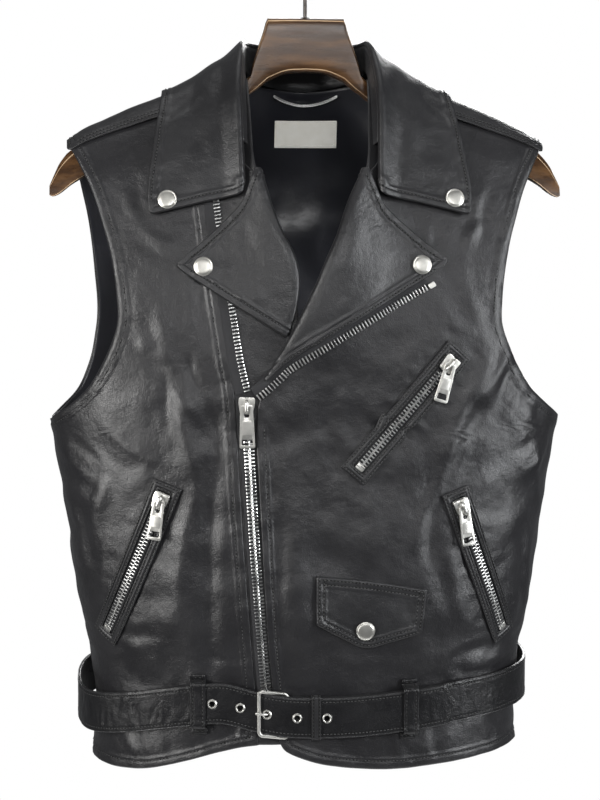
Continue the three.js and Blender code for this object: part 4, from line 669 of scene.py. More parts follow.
def tube_mesh(points, normal, wide, thick, around=10, loop=False):
    """An oval tube along points, closed in a loop or with rounded ends."""
    points = np.asarray(points, float)
    normal = np.broadcast_to(normal, points.shape)
    wide, thick = np.broadcast_to(wide, len(points)), np.broadcast_to(thick, len(points))
    if loop:
        tangent = unit(np.roll(points, -1, 0) - np.roll(points, 1, 0))
    else:
        tangent = unit(np.gradient(points, axis=0))
        tip = np.array([0.0, 0.35, 0.75])
        start = points[0] - tangent[0] * (thick[0] / 2) * (1 - tip)[:, None]
        end = points[-1] + tangent[-1] * (thick[-1] / 2) * (1 - tip[::-1])[:, None]
        scale = np.sqrt(np.maximum(1 - (1 - tip) ** 2, 0.02))
        points = np.concatenate([start, points, end])
        wide = np.concatenate([wide[0] * scale, wide, wide[-1] * scale[::-1]])
        thick = np.concatenate([thick[0] * scale, thick, thick[-1] * scale[::-1]])
        normal = np.concatenate([np.repeat(normal[:1], 3, 0), normal, np.repeat(normal[-1:], 3, 0)])
        tangent = np.concatenate([np.repeat(tangent[:1], 3, 0), tangent, np.repeat(tangent[-1:], 3, 0)])
    side = unit(np.cross(tangent, normal))
    lift = unit(np.cross(side, tangent))
    angle = circle(around)
    rings = (points[:, None] + side[:, None] * (np.cos(angle)[None, :, None] * wide[:, None, None] / 2)
             + lift[:, None] * (np.sin(angle)[None, :, None] * thick[:, None, None] / 2))
    return closed_rings(rings) if loop else capped_rings(rings)


def joined(parts):
    """One list of points and faces from several."""
    points, faces, start = [], [], 0
    for part_points, part_faces in parts:
        points.append(np.asarray(part_points, float).reshape(-1, 3))
        faces += [[index + start for index in face] for face in part_faces]
        start += len(points[-1])
    return np.concatenate(points), faces


def resampled(points, pitch, *others):
    """A line's points every pitch, with other values carried along it."""
    length = lengths(points)
    count = max(int(length[-1] / pitch), 2)
    at = (np.arange(count) + 0.5) * length[-1] / count
    return [read_off(at, length, values) for values in (points, *others)]


# Rings of a stitch: share of its length, share of its radius, how far it sinks in
STITCH_RINGS = ((-0.5, 0.3, -0.3), (-0.3, 0.95, 0.0), (0.3, 0.95, 0.0), (0.5, 0.3, -0.3))


def stitch(group, points, ways, pitch=STITCH_PITCH, length=2.2, radius=0.44):
    """Adds a row of stitches, and under it a matte near-black tube that paints the shade of the stitch
    groove, to a group that becomes one mesh each.
    """
    centres, outs = resampled(points, pitch, ways)
    outs = unit(outs)
    tangent = unit(np.gradient(centres, axis=0))
    side = unit(np.cross(outs, tangent))
    angle = circle(6)
    rings = []
    for share, width, sink in STITCH_RINGS:
        middle = centres + tangent * length * share + outs * (radius * (0.25 + sink))
        rings.append(middle[:, None] + side[:, None] * (np.cos(angle) * radius * width)[None, :, None]
                     + outs[:, None] * (np.sin(angle) * radius * width)[None, :, None])
    row = np.stack(rings, 1).reshape(-1, 3), prisms(len(centres))
    STITCHES.setdefault(group, []).append(row)
    # Matte near-black tube along the stitch line: painted shade of the groove
    channel = tube_mesh(*resampled(points, 1.6, ways), PAINTED_GROOVE_SHADE_WIDE, PAINTED_GROOVE_SHADE_THICK, 6)
    STITCHES.setdefault(f"{group}_channel", []).append(channel)


def stitch_side(group, grid, side, inset, meets=(), **look):
    """Stitches beside one side of a grid, stopping short of the sides that it meets."""
    rows, outs = grid, normals(grid)
    if side in ("left", "right"):
        rows, outs = rows.transpose(1, 0, 2), outs.transpose(1, 0, 2)
    if side in ("right", "top"):
        rows, outs = rows[:, ::-1], outs[:, ::-1]
    points = np.array([read_off(inset, lengths(row), row) for row in rows])
    ways = unit(np.array([read_off(inset, lengths(row), out) for row, out in zip(rows, outs)]))
    keep = np.ones(len(points), bool)
    for other in meets:
        keep &= distance_to(points, border(grid, other))[0] > inset * 0.95
    stitch(group, points[keep], ways[keep], **look)


def sew(group):
    """Makes one mesh of all the stitches of a group, and one of the painted groove shade under them."""
    make_mesh(f"stitches_{group}", *joined(STITCHES.pop(group)), "thread")
    make_mesh(f"channel_{group}", *joined(STITCHES.pop(f"{group}_channel")), "channel")


# Materials
class Look:
    """A material being made: its shader's sockets, and the textures that feed them."""

    def __init__(self, name, slot, numbers):
        made = bpy.data.materials.new(name)
        made.use_nodes = True
        MATERIALS[name] = made, slot
        self.nodes, self.links = made.node_tree.nodes, made.node_tree.links
        self.sockets = self.nodes["Principled BSDF"].inputs
        self.place = self.nodes.new("ShaderNodeTexCoord").outputs["Object"]
        for socket, value in numbers.items():
            self.sockets[socket].default_value = value

    def texture(self, kind, place, numbers):
        node = self.nodes.new(kind)
        for socket, value in numbers.items():
            node.inputs[socket].default_value = value
        self.links.new(place, node.inputs["Vector"])
        return node

    def noise(self, scale, detail=3.0, roughness=0.55, stretch=None):
        place = self.place
        if stretch is not None:
            place = self.texture("ShaderNodeMapping", place, {"Scale": stretch}).outputs["Vector"]
        numbers = {"Scale": scale, "Detail": detail, "Roughness": roughness}
        return self.texture("ShaderNodeTexNoise", place, numbers).outputs["Fac"]

    def weave(self, scale, distortion=0.0):
        numbers = {"Scale": scale, "Distortion": distortion}
        return self.texture("ShaderNodeTexWave", self.place, numbers).outputs["Fac"]

    def sum(self, kind, first, factor, second):
        """First times a factor plus second."""
        node = self.nodes.new(kind)
        node.operation = "MULTIPLY_ADD"
        self.links.new(first, node.inputs[0])
        node.inputs[1].default_value = factor
        self.links.new(second, node.inputs[2])
        return node.outputs[0]

    def ramp(self, value, *stops, to=None):
        """Colours or numbers by a value, for a socket of the shader if one is named."""
        node = self.nodes.new("ShaderNodeValToRGB")
        while len(node.color_ramp.elements) < len(stops):
            node.color_ramp.elements.new(0.5)
        for element, (at, colour) in zip(node.color_ramp.elements, stops):
            element.position = at
            element.color = (*colour, 1) if hasattr(colour, "__len__") else (colour, colour, colour, 1)
        self.links.new(value, node.inputs["Fac"])
        if to:
            self.links.new(node.outputs["Color"], self.sockets[to])
        return node.outputs["Color"]

    def bump(self, *layers):
        """Bump layers, each (height, strength, distance in metres)."""
        last = None
        for height, strength, distance in layers:
            node = self.nodes.new("ShaderNodeBump")
            node.inputs["Strength"].default_value = strength
            node.inputs["Distance"].default_value = distance
            self.links.new(height, node.inputs["Height"])
            if last is not None:
                self.links.new(last, node.inputs["Normal"])
            last = node.outputs["Normal"]
        self.links.new(last, self.sockets["Normal"])


def leather_look(name, dark, light, rough_low, rough_high, shine=0.34):
    look = Look(name, "leather", {"Specular IOR Level": shine, "Sheen Weight": 0.03, "Sheen Roughness": 0.5})
    look.ramp(look.noise(16, 5, 0.6), (0.3, dark), (0.72, light), to="Base Color")
    look.ramp(look.noise(30, 5, 0.68), (0.3, rough_low), (0.7, rough_high), to="Roughness")
    wobble = look.texture("ShaderNodeTexNoise", look.place, {"Scale": 240}).outputs["Color"]
    warped = look.sum("ShaderNodeVectorMath", wobble, (0.0016, 0.0016, 0.0016), look.place)
    grain = look.texture("ShaderNodeTexVoronoi", warped, {"Scale": 620})
    grain.feature = "DISTANCE_TO_EDGE"
    cells = look.ramp(grain.outputs["Distance"], (0.0, 0.0), (0.25, 1.0))
    look.bump((look.noise(34, 3, 0.5), 0.5, 0.0022), (look.noise(110, 5, 0.6), 0.5, 0.0012),
              (cells, 0.3, 0.0002), (look.noise(1300, 3, 0.6), 0.2, 0.00014))


def make_materials():
    for name, dark, light, rough_low, rough_high, shine in (
            ("leather", (0.0052, 0.005, 0.0058), (0.0108, 0.0106, 0.0118), 0.3, 0.46, 0.34),
            # Lighter copy of the same leather for the collar, lapels and other trim: its extra lightness is
            # painted light
            ("leather_trim", (0.0062, 0.0061, 0.0068), (0.0115, 0.0114, 0.0125), 0.3, 0.46, 0.36),
            # Darker copy of the same leather for the belt and its loops: its darkness is painted shade
            ("leather_belt", (0.0026, 0.0026, 0.003), (0.0055, 0.0054, 0.0062), 0.26, 0.42, 0.28),
            # Edge paint for the belt's bead, lighter than the leather: partly real edge paint, partly painted
            # highlight
            ("edge", (0.009, 0.009, 0.0095), (0.016, 0.016, 0.0168), 0.2, 0.3, 0.34)):
        leather_look(name, dark, light, rough_low, rough_high, shine)

    look = Look("lining", "lining", {"Roughness": 0.34, "Sheen Weight": 0.25, "Anisotropic": 0.4})
    look.ramp(look.noise(14), (0.3, (0.0035, 0.0038, 0.006)), (0.75, (0.0075, 0.008, 0.013)), to="Base Color")
    look.bump((look.noise(60), 0.35, 0.0012), (look.weave(900, 0.6), 0.12, 0.0001))

    look = Look("label", "label", {"Roughness": 0.75})
    look.ramp(look.noise(120, 4), (0.3, (0.9, 0.88, 0.8)), (0.75, (0.96, 0.945, 0.88)), to="Base Color")
    look.bump((look.weave(700), 0.3, 0.00012))

    for name, slot, dark, light, low, high in (
            ("nickel", "nickel", (0.44, 0.435, 0.41), (0.52, 0.512, 0.485), 0.36, 0.42),
            ("teeth", "nickel", (0.5, 0.5, 0.49), (0.62, 0.62, 0.61), 0.24, 0.34),
            ("loop", "nickel", (0.84, 0.84, 0.83), (0.94, 0.94, 0.93), 0.36, 0.46),
            ("satin", "nickel", (0.36, 0.355, 0.33), (0.44, 0.43, 0.4), 0.36, 0.44),
            ("steel", "steel", (0.03, 0.027, 0.026), (0.06, 0.055, 0.05), 0.3, 0.42)):
        look = Look(name, slot, {"Metallic": 1.0})
        look.ramp(look.noise(240, 4), (0.35, dark), (0.7, light), to="Base Color")
        look.ramp(look.noise(130, 3, 0.5), (0.35, low), (0.7, high), to="Roughness")

    look = Look("tape", "tape", {"Roughness": 0.85})
    weave = look.weave(420, 1.5)
    look.ramp(weave, (0.2, (0.006, 0.006, 0.007)), (0.8, (0.014, 0.014, 0.016)), to="Base Color")
    look.bump((weave, 0.5, 0.0003))

    # Thread, and the near-black matte tube that paints the shade of the stitch grooves
    for name, dark, light, gloss in (("thread", 0.016, 0.04, 0.4), ("channel", 0.0015, 0.004, 0.1)):
        look = Look(name, "leather", {"Roughness": 0.6, "Specular IOR Level": gloss})
        twist = look.noise(1600, 2)
        look.ramp(twist, (0.3, dark), (0.7, light), to="Base Color")
        look.bump((twist, 0.4, 0.0001))

    look = Look("wood", "wood", {"Specular IOR Level": 0.26, "Coat Weight": 0.06, "Coat Roughness": 0.2})
    streak, broad = look.noise(26, 6, 0.62, (0.55, 4.0, 4.0)), look.noise(7, 3, 0.5, (0.7, 2.0, 2.0))
    look.ramp(look.sum("ShaderNodeMath", broad, 0.6, streak), (0.5, (0.009, 0.0042, 0.002)),
              (0.78, (0.036, 0.0165, 0.0062)), (0.98, (0.085, 0.042, 0.016)), to="Base Color")
    pores = look.noise(320, 4, 0.7, (0.12, 1.0, 1.0))
    look.ramp(pores, (0.3, 0.24), (0.7, 0.38), to="Roughness")
    look.bump((pores, 0.12, 0.0002))

    look = Look("chamfer", "wood", {"Roughness": 0.3})
    look.ramp(look.noise(80), (0.3, (0.3, 0.2, 0.12)), (0.7, (0.45, 0.33, 0.21)), to="Base Color")


# Body panels
# Shares at which edges are sewn, and about how long the panels are
DENSE = np.linspace(0, 1, 420)
PANEL_LONG = 600
LOW_WEIGHT, HIGH_WEIGHT = 8, 10
JOIN = LOW_WEIGHT / (LOW_WEIGHT + HIGH_WEIGHT)
RIDGE_FRONT = [(NECK_X, 600), (130, 574.5), (206, 538)]


def panel(node, places, edges, over=False):
    """A wall over the form. Each edge is (places, side to sew on, style, share along it)."""
    name = f"{node}_cloth"
    inner, outer = skin(places, 0, over), skin(places, LEATHER, over)
    lines = [(skin(line, LEATHER, over), style, share) for line, _, style, share in edges]
    outer = outer + normals(outer) * relief(outer, lines)[..., None]
    piece = make_mesh(name, *wall(outer, inner), "leather", node)
    for line, way, style, share in edges:
        if style["stitch"]:
            row = beside(line, way * style["stitch"])[np.broadcast_to(share, len(line)) > 0.5]
            height = LEATHER + style["raised"] - style["groove"]
            stitch(name, skin(row, height, over), frame_at(row)[2])
    if name in STITCHES:
        sew(name)
    return piece


def arm_side(shares, side, outline, back):
    low = [(side * SEAM, 3 if side > 0 else -6), (side * SEAM, UNDERARM_Z)]
    arm = [(x * side, z) for x, z in outline]
    last = trace(arm, [1.0], back)[0]
    tip = np.array([spot(206 * side, RIDGE, back)[..., 0], 4 - RIDGE_CLIMB if back else RIDGE_CLIMB])
    return chain(shares, (LOW_WEIGHT, along_outline(low, back)), (HIGH_WEIGHT - 1, along_outline(arm, back)),
                 (1, between(last, tip)))


def ridge(outline, shares, back=False):
    line = trace(outline, shares, back)
    line[:, 1] = 4 - RIDGE_CLIMB if back else RIDGE_CLIMB
    return line


def front_sides(low, high):
    return lambda shares: chain(shares, (LOW_WEIGHT, along_outline(low)), (HIGH_WEIGHT, along_outline(high)))


def low_share(line, fade=0.02):
    return 1 - smooth(np.linspace(0, 1, len(line)), JOIN - fade, JOIN + fade)


def front_left():
    u, v = spread(235), spread(PANEL_LONG)
    neck = (NECK_X, float(shoulder_z(NECK_X)))
    inner = front_sides(LEFT_EDGE_LOW, [LEFT_EDGE_LOW[-1], *ROLL_LEFT, (51, 513), (59, 523), (61, 545), neck])
    hem = [*HEM_LEFT, (189.9, 3)]
    top = [neck, *RIDGE_FRONT[1:]]
    places = fill(u, v, trace(hem, u), arm_side(v, 1, ARMHOLE_FRONT, False), ridge(top, u), inner(v))
    edge, arm = inner(DENSE), arm_side(DENSE, 1, ARMHOLE_FRONT, False)
    low = low_share(edge)
    return panel("front_left", places, [
        (edge, 1, HEM, low), (trace(hem, DENSE), -1, HEM, 1), (arm, -1, HEM, 1 - low),
        (arm, -1, SEAM_EDGE, low), (ridge(top, DENSE), 1, SEAM_EDGE, 1)], over=True)


def front_right():
    u, v = spread(150), spread(PANEL_LONG)
    neck = (-NECK_X - EXTENSION_TOP, float(shoulder_z(NECK_X)))
    inner = front_sides(RIGHT_EDGE_LOW, [*RIGHT_EDGE_HIGH, neck])
    hem = [(-189.9, -6), *HEM_RIGHT]
    top = [(-206, 538), (-130, 574.5), neck]
    places = fill(u, v, trace(hem, u), inner(v), ridge(top, u), arm_side(v, -1, ARMHOLE_FRONT, False))
    edge, arm = inner(DENSE), arm_side(DENSE, -1, ARMHOLE_FRONT, False)
    low = low_share(edge)
    shown = 1 - smooth(np.linspace(0, 1, len(edge)), 0.8, 0.84)
    return panel("front_right", places, [
        (edge, -1, HEM, shown), (trace(hem, DENSE), -1, HEM, 1), (arm, 1, HEM, 1 - low),
        (arm, 1, SEAM_EDGE, low), (ridge(top, DENSE), 1, SEAM_EDGE, 1)])


def front_extension():
    u, v = spread(40), spread(PANEL_LONG, fine=3)
    gap = 0.4
    neck = float(shoulder_z(NECK_X))
    low = [(x + gap, z) for x, z in RIGHT_EDGE_LOW]
    high = [(x + gap, z) for x, z in [*RIGHT_EDGE_HIGH, (-NECK_X - EXTENSION_TOP, neck)]]
    outer = front_sides(low, high)
    inner = front_sides(
        [(-8, 20), (-12, 120), (-14, 220), (-12, UNDERARM_Z)],
        [(-12, UNDERARM_Z), (-12, 350), (-13, 384), *ROLL_RIGHT[2:], (-51, 513), (-59, 523), (-61, 545),
         (-NECK_X, neck)])
    left, right = outer(v), inner(v)
    low = trace([(-47.6, 20), (-30, 20), (-8, 20)], u)
    places = fill(u, v, low, right, mix(left[-1], right[-1], u[:, None]), left)
    return panel("front_extension", places, [])


def back_places(u, v):
    low, high = arm_side(v, -1, ARMHOLE_BACK, True), arm_side(v, 1, ARMHOLE_BACK, True)
    shoulder = [(-206, 538), (-130, 574.5), (-NECK_X, float(shoulder_z(NECK_X)))]
    half = [(-58, 596), (-49, 592), (-30, 589), (0, 587)]
    neck = [*half, *((-x, z) for x, z in half[-2::-1])]

    def seam(shares):
        return ridge(shoulder, shares, True)

    def far_seam(shares):
        return ridge(shoulder, 1 - shares, True) * [-1, 1]

    top = chain(u, (6, seam), (6.6, along_outline(neck, True)), (6, far_seam))
    bottom = mix(low[0], high[0], u[:, None])
    return fill(u, v, bottom, high, top, low)


def satin(grid):
    """Soft wrinkles of a lining that is a little too wide."""
    x, z = grid[..., 0], grid[..., 2]
    wave = np.sin(x * 0.21 + 1.9 * np.sin(z * 0.045)) * 0.5 + np.sin(x * 0.083 - z * 0.06 + 0.6) * 0.8
    return wave * 0.55 + 0.35 * np.sin(z * 0.17 + x * 0.02) * np.sin(x * 0.05)


def back():
    places = back_places(spread(400), spread(PANEL_LONG))[::-1]
    dense = np.linspace(0, 1, 900)
    right, left = arm_side(DENSE, -1, ARMHOLE_BACK, True), arm_side(DENSE, 1, ARMHOLE_BACK, True)
    low = low_share(right)
    hem = back_places(dense, np.array([0.0, 1.0]))[:, 0]
    cloth = panel("back", places, [
        (hem, 1, HEM, 1), (right, -1, HEM, 1 - low), (left, 1, HEM, 1 - low),
        (right, -1, SEAM_EDGE, low), (left, 1, SEAM_EDGE, low)])
    places = back_places(*(spread(length, coarse=5.2, fine=3) for length in (400, PANEL_LONG)))[::-1]
    outer = skin(places, LINING - LINING_DEEP, plain=True)
    inner = skin(places, -LINING_DEEP, plain=True)
    at_label = (1 - smooth(np.abs(outer[..., 0]), 48, 75)) * smooth(outer[..., 2], 480, 520)
    deep = np.minimum(satin(outer) - 0.6, 0) * mix(2.0, 1.0, at_label)
    wrinkles = normals(outer) * deep[..., None]
    mesh = wall(outer + wrinkles, inner + wrinkles)
    lining = make_mesh("back_lining_cloth", *mesh, "lining", "lining_back")
    return cloth, lining


def epaulette(side):
    u, v = spread(94), spread(44)
    x = mix(116, 207.5, u)
    front = shoulder_z(x) - mix(17, 10, u)
    start, end = spot(x, front, False)[:, 1], spot(x, front + 2, True)[:, 1]
    climb = mix(start[:, None], end[:, None], v[None])
    rise = np.where(climb > 2, 4 - climb, climb)
    half = column(ABOVE, "share", 1 - np.clip(2 - rise, 0, 1) ** RIDGE_EASE, "half")
    turn = side * np.degrees(np.arcsin(np.clip(x[:, None] / half, 0, 1) ** (SECTION_POWER / 2)))
    grid = round_corners(skin(np.stack([turn, climb], -1), ON_PANEL), 7, first=False)
    if side < 0:
        grid = grid[::-1]
    node = "epaulette_left" if side > 0 else "epaulette_right"
    name = f"{node}_cloth"
    outer = grid + normals(grid) * (LEATHER - 0.3)
    outer = sewn_edges(outer, {**HEM, "raised": 0.6, "pucker": 0.08})
    piece = make_mesh(name, *wall(outer, grid), "leather_trim", node)
    for inset in (3.2, 7.0):
        for edge in ("bottom", "top"):
            stitch_side(name, outer, edge, inset, ("left", "right"))
        stitch_side(name, outer, "right" if side > 0 else "left", inset, ("bottom", "top"))
    sew(name)
    return piece


# Collar and lapels
COLLAR_FOLDS = columns(
    "x0 z0 x1 z1 wide high bend back",
    (-122, 566, -94, 590, 5.5, -1.9, 3, 0), (-136, 548, -104, 566, 5, 1.2, 3, 0),
    (-128, 516, -90, 528, 8, 0.9, -5, 0), (-84, 548, -72, 512, 7, 0.8, 3, 0),
    (126, 560, 96, 588, 5.5, -1.6, -3, 0), (136, 540, 100, 556, 6, 1.1, 4, 0),
    (130, 506, 88, 520, 8, 0.8, 4, 0), (86, 556, 76, 514, 7, -0.8, 3, 0),
    (-90, 560, -30, 552, 8, 1.2, -4, 1), (30, 556, 92, 562, 8, -1.0, 4, 1))


def collar_sections(t, falls):
    half, side = np.abs(t), np.sign(t) + (t == 0)
    index = (1 - half) * (len(COLLAR["back"]) - 1)
    at_back = COLLAR["back"] > 0
    inner = spot(COLLAR["innerX"], COLLAR["innerZ"], at_back)
    outer = spot(COLLAR["outerX"], COLLAR["outerZ"], at_back)
    values = [*inner.T, *outer.T, COLLAR["stand"], COLLAR["upright"]]
    keys = np.arange(len(at_back), dtype=float)
    a, b, c, d, stand, upright = (
        column({"key": keys, "value": value}, "key", index, "value") for value in values)
    inner = np.stack([side * a, b], -1)
    outer = np.stack([side * c, d], -1)
    base = skin(inner, 0, plain=True)
    lean = unit(mix(frame_at(inner)[2], UP, upright[:, None]))
    inward = base - skin(outer, 0, plain=True)
    inward[:, 2] = 0
    inward = unit(inward)
    fold = base + lean * (stand + FALL_LIFT)[:, None]
    roll = [fold + inward * inside + lean * above
            for inside, above in ((3.6, -4.4), (3.2, -1.8), (1.8, -0.2))]
    fall = []
    for s in falls:
        rise = stand * (1 - s) ** 2.2 + FALL_LIFT * 0.5 * max(1 - s * 6, 0)
        lift = FALL_LIFT * mix(0.4, 1, smooth(s, 0, 0.3))
        fall.append(skin(mix(inner, outer, s), lift, plain=True) + lean * rise[:, None])
    foot = base + inward * 4.4 + lean
    return np.stack(roll + fall, 1), foot, roll[0] - lean * 0.5


def collar():
    t = mix(-1, 1, spread(620, coarse=3.2))
    coarse, foot, top = collar_sections(t, np.arange(7) / 6)
    shares = spread(82, low=False, coarse=2.6)
    grid = np.stack([catmull(row, shares) for row in coarse])
    grid = round_corners(round_corners(grid, 6, low=False), 9, high=False)
    x, z, back_side = grid[..., 0], grid[..., 2], grid[..., 1] > 8
    own = fold_lift(x, z, back_side, COLLAR_FOLDS) + unevenness(grid, seed=19, count=18) * 0.8
    fade = smooth(np.arange(grid.shape[1]) / grid.shape[1], 0.16, 0.34)
    grid = grid + normals(grid) * (own * fade)[..., None]
    outer = sewn_edges(grid, TRIM, ("left", "right", "top"))
    mesh = wall(outer, grid - normals(grid) * LEATHER)
    piece = make_mesh("collar_cloth", *mesh, "leather_trim", "collar")
    stitch_side("collar_cloth", outer, "top", TRIM["stitch"], ("left", "right"))
    for side in ("left", "right"):
        stitch_side("collar_cloth", outer, side, TRIM["stitch"], ("top",))
    sew("collar_cloth")
    inside = np.abs(t) < 0.8
    pair = np.stack([foot, top], 1)[inside][::-1]
    inner = mix(pair[:, :1], pair[:, 1:], np.linspace(0, 1, 8)[None, :, None])
    mesh = wall(inner + normals(inner) * LEATHER, inner)
    return piece, make_mesh("collar_stand_cloth", *mesh, "leather_trim", "collar_stand")


LAPEL_FOLDS = columns(
    "x0 z0 x1 z1 wide high bend back",
    (-100, 425, -66, 432, 7, 0.9, 3, 0), (-58, 470, -46, 430, 6, -0.8, 3, 0),
    (-40, 404, -74, 416, 7, 0.7, -3, 0), (98, 428, 60, 434, 7, -0.9, 3, 0),
    (36, 478, 22, 424, 8, 0.9, -4, 0), (64, 420, 20, 388, 8, 0.7, 4, 0), (56, 476, 74, 446, 5, -0.7, 2, 0))
ROLL_INWARD = (0.9, 0.9, 0.1)
ROLL_LIFT = (0.5, 2.2, 3.6)
ROLL_FLAT = (3.1, 3.8, 4.2)


def lapel(node, roll, lower, tip, upper, lift, over, flat_below):
    name = f"{node}_cloth"
    side = np.sign(tip[0][0])
    v = spread(210)
    u = np.concatenate([[0.012], spread(150, low=False)[3:]])
    line = trace(roll, v)
    places = fill(u, v, trace(lower, u), trace(tip, v), trace(upper, u), line)
    rows = []
    turned = smooth(form_point(line)[:, 2], flat_below, flat_below + 22)
    for k in range(3):
        inward = mix(0.9 - 0.4 * k, ROLL_INWARD[k], turned)
        height = mix(ROLL_FLAT[k], ROLL_LIFT[k], turned)
        rows.append(skin(walk(line, -side * inward, inward * 0.45), height, over, plain=True))
    rise = mix(4.4, lift, smooth(u * 7, 0, 3))[:, None]
    shape = np.concatenate([np.stack(rows), skin(places, rise, over, plain=True)])
    if side < 0:
        shape = shape[::-1]
    own = fold_lift(shape[..., 0], shape[..., 2], np.zeros(shape.shape[:2], bool), LAPEL_FOLDS)
    own = own + unevenness(shape, seed=31, count=18) * 0.8
    outer = shape + normals(shape) * (LEATHER + np.maximum(own, -0.6)[..., None])
    roll_side, tip_side = ("left", "right") if side > 0 else ("right", "left")
    outer = sewn_edges(outer, TRIM, ("bottom", "top", tip_side))
    piece = make_mesh(name, *wall(outer, shape), "leather_trim", node)
    for edge in ("bottom", "top"):
        stitch_side(name, outer, edge, TRIM["stitch"], (tip_side, roll_side))
    sew(name)
    return piece


def lapels():
    left = lapel(
        "lapel_left", [(-40, 335), (-24, 361.5), *ROLL_LEFT[3:], (46, 513)],
        [(-40, 335), (-31, 344), (-20, 353), (12, 372), (63, 402), (100, 423), (112, 430)],
        [(112, 430), (115, 433.5), (115, 437), (112, 440)],
        [(46, 513), (52, 500), (57, 488), (64, 477), (84, 460), (101, 447), (112, 440)],
        LAPEL_LEFT_LIFT, over=True, flat_below=344)
    right = lapel(
        "lapel_right", [(-24.5, 373), (-19, 385), *ROLL_RIGHT[2:], (-46, 513)],
        [(-24.5, 373), (-34, 379), (-45, 386), (-66, 399), (-98, 419), (-110, 427)],
        [(-110, 427), (-113, 430), (-113, 433), (-110, 436)],
        [(-46, 513), (-51, 500), (-56, 487), (-64, 476), (-88, 454), (-110, 436)],
        LAPEL_RIGHT_LIFT, over=False, flat_below=402)
    return left, right


# Zips
def strip(name, node, line, asides, low, over=False, plain=False):
    """A zip's tape along a line of places, in place of a node."""
    places = np.stack([beside(line, aside) for aside in asides])
    inner, outer = skin(places, low, over, plain), skin(places, low + TAPE, over, plain)
    make_mesh(name, *wall(outer, inner), "tape", node)


def teeth(line, root, head, low, high, phase=0.0, over=False, plain=False):
    """A row of metal teeth along a line of places, from their clamped root to their head."""
    centres = skin(line, 0, over, plain)
    tangent = unit(np.gradient(centres, axis=0))
    out = frame_at(line)[2]
    at = lengths(centres)
    stations = np.arange(phase + TOOTH_PITCH / 2, at[-1], TOOTH_PITCH)
    centre, run, lift = (read_off(stations, at, values) for values in (centres, tangent, out))
    run, lift = unit(run), unit(lift)
    side = unit(np.cross(run, lift))
    half, neck = TOOTH_THICK / 2, mix(root, head, 0.55)
    plan = np.array([(root, -half), (neck, -half * 0.8), (head, -half), (head, half), (neck, half * 0.8),
                     (root, half)])
    middle = plan.mean(0)
    levels = [(low, 0.9), (mix(low, high, 0.25), 1.0), (high - 0.45, 1.0), (high, 0.72)]
    points = []
    for level, scale in levels:
        shape = middle + (plan - middle) * scale
        points.append(centre[:, None] + side[:, None] * shape[None, :, :1] + run[:, None] * shape[None, :, 1:]
                      + lift[:, None] * level)
    return np.stack(points, 1).reshape(-1, 3), prisms(len(centre), head < root)


def closed_teeth(line, half, low, high, plain=False):
    """Two rows of teeth that mesh."""
    return joined([teeth(line, -half, 0.9, low, high, plain=plain),
                   teeth(line, half, -0.9, low, high, TOOTH_PITCH / 2, plain=plain)])


def metal_stop(name, line, aside, along, low, high, over=False):
    """A small folded metal end on the last place of a zip, by its reach aside and along."""
    centres = skin(line, 0, over, plain=True)
    run = unit(centres[-1] - centres[-4])
    out = frame_at(line[-1])[2]
    side = unit(np.cross(run, out))
    corners = [(aside[0], along[0]), (aside[1], along[0]), (aside[1], along[1]), (aside[0], along[1])]
    points, faces = plate([rounded(corners, 1.1)], low, high, 0.35)
    placed = centres[-1] + points[:, :1] * side + points[:, 1:2] * out + points[:, 2:] * run
    make_mesh(name, placed, faces, "nickel")


def main_zip():
    """The closed run with both rows of teeth, then the two open halves with a row each."""
    left_edge = [(-50, 322.5), (-44, 327), (-31, 338.5), (-20, 348.5), (12, 367.5), (63, 397.5), (98, 417)]
    for name, node, outline, count, asides, reach, over in (
            ("zip_main", "zip_main_closed", [*ZIP_LINE[:-1], (-56.3, 303)], 120,
             (-7.2, -5, -2.5, 0, 2.5, 5.4), None, False),
            ("zip_right", "zip_main_right", [(-58.8, 324), *ZIP_LINE_UPPER[1:]], 90,
             (-8, -5, -2, 0.4, 2.4), (0.2, 5.6), False),
            ("zip_left", "zip_main_left", left_edge, 90,
             (-7, -4, -1.5, 1.2, 2.8), (0.6, 6.6), True)):
        line = trace(outline, np.linspace(0, 1, count))
        strip(f"{name}_tape", node, line, asides, TAPE_LOW, over)
        if reach:
            rows = teeth(line, *reach, TAPE_LOW - 0.1, CHAIN_HIGH, over=over)
        else:
            rows = closed_teeth(line, 4.5, TAPE_LOW + 0.4, CHAIN_HIGH)
        make_mesh(f"{name}_teeth", *rows, "teeth", smooth_shade=False)
    metal_stop("zip_left_stop", line, (2.2, 6.8), (-0.5, 5.8), TAPE_LOW + 0.4, CHAIN_HIGH + 0.4, over)


def at_frame(place, lift, lean):
    """Turns local (level, out of the cloth, up) points into place, as the solids are."""
    place = np.asarray(place, float)
    out = unit(frame_at(place)[2] * [1, 1, 0])
    level = np.array([-out[1], out[0], 0.0])
    origin = skin(place, 0, plain=True) + out * lift
    turned_level = level * math.cos(lean) - UP * math.sin(lean)
    turned_up = level * math.sin(lean) + UP * math.cos(lean)

    def put(points, turn=0.0):
        points = np.asarray(points, float)
        x = points[..., 0] * math.cos(turn) + points[..., 2] * math.sin(turn)
        z = -points[..., 0] * math.sin(turn) + points[..., 2] * math.cos(turn)
        return origin + x[..., None] * turned_level + points[..., 1, None] * out + z[..., None] * turned_up
    return put


def rounded(corners, radius, steps=5):
    """A closed outline with its corners rounded."""
    corners = np.asarray(corners, float)
    radius = np.broadcast_to(radius, len(corners))
    outline = []
    for i, corner in enumerate(corners):
        before, after = corners[i - 1], corners[(i + 1) % len(corners)]
        a = corner + unit(before - corner) * radius[i]
        b = corner + unit(after - corner) * radius[i]
        for t in np.linspace(0, 1, steps):
            outline.append((1 - t) ** 2 * a + 2 * t * (1 - t) * corner + t * t * b)
    return np.array(outline)


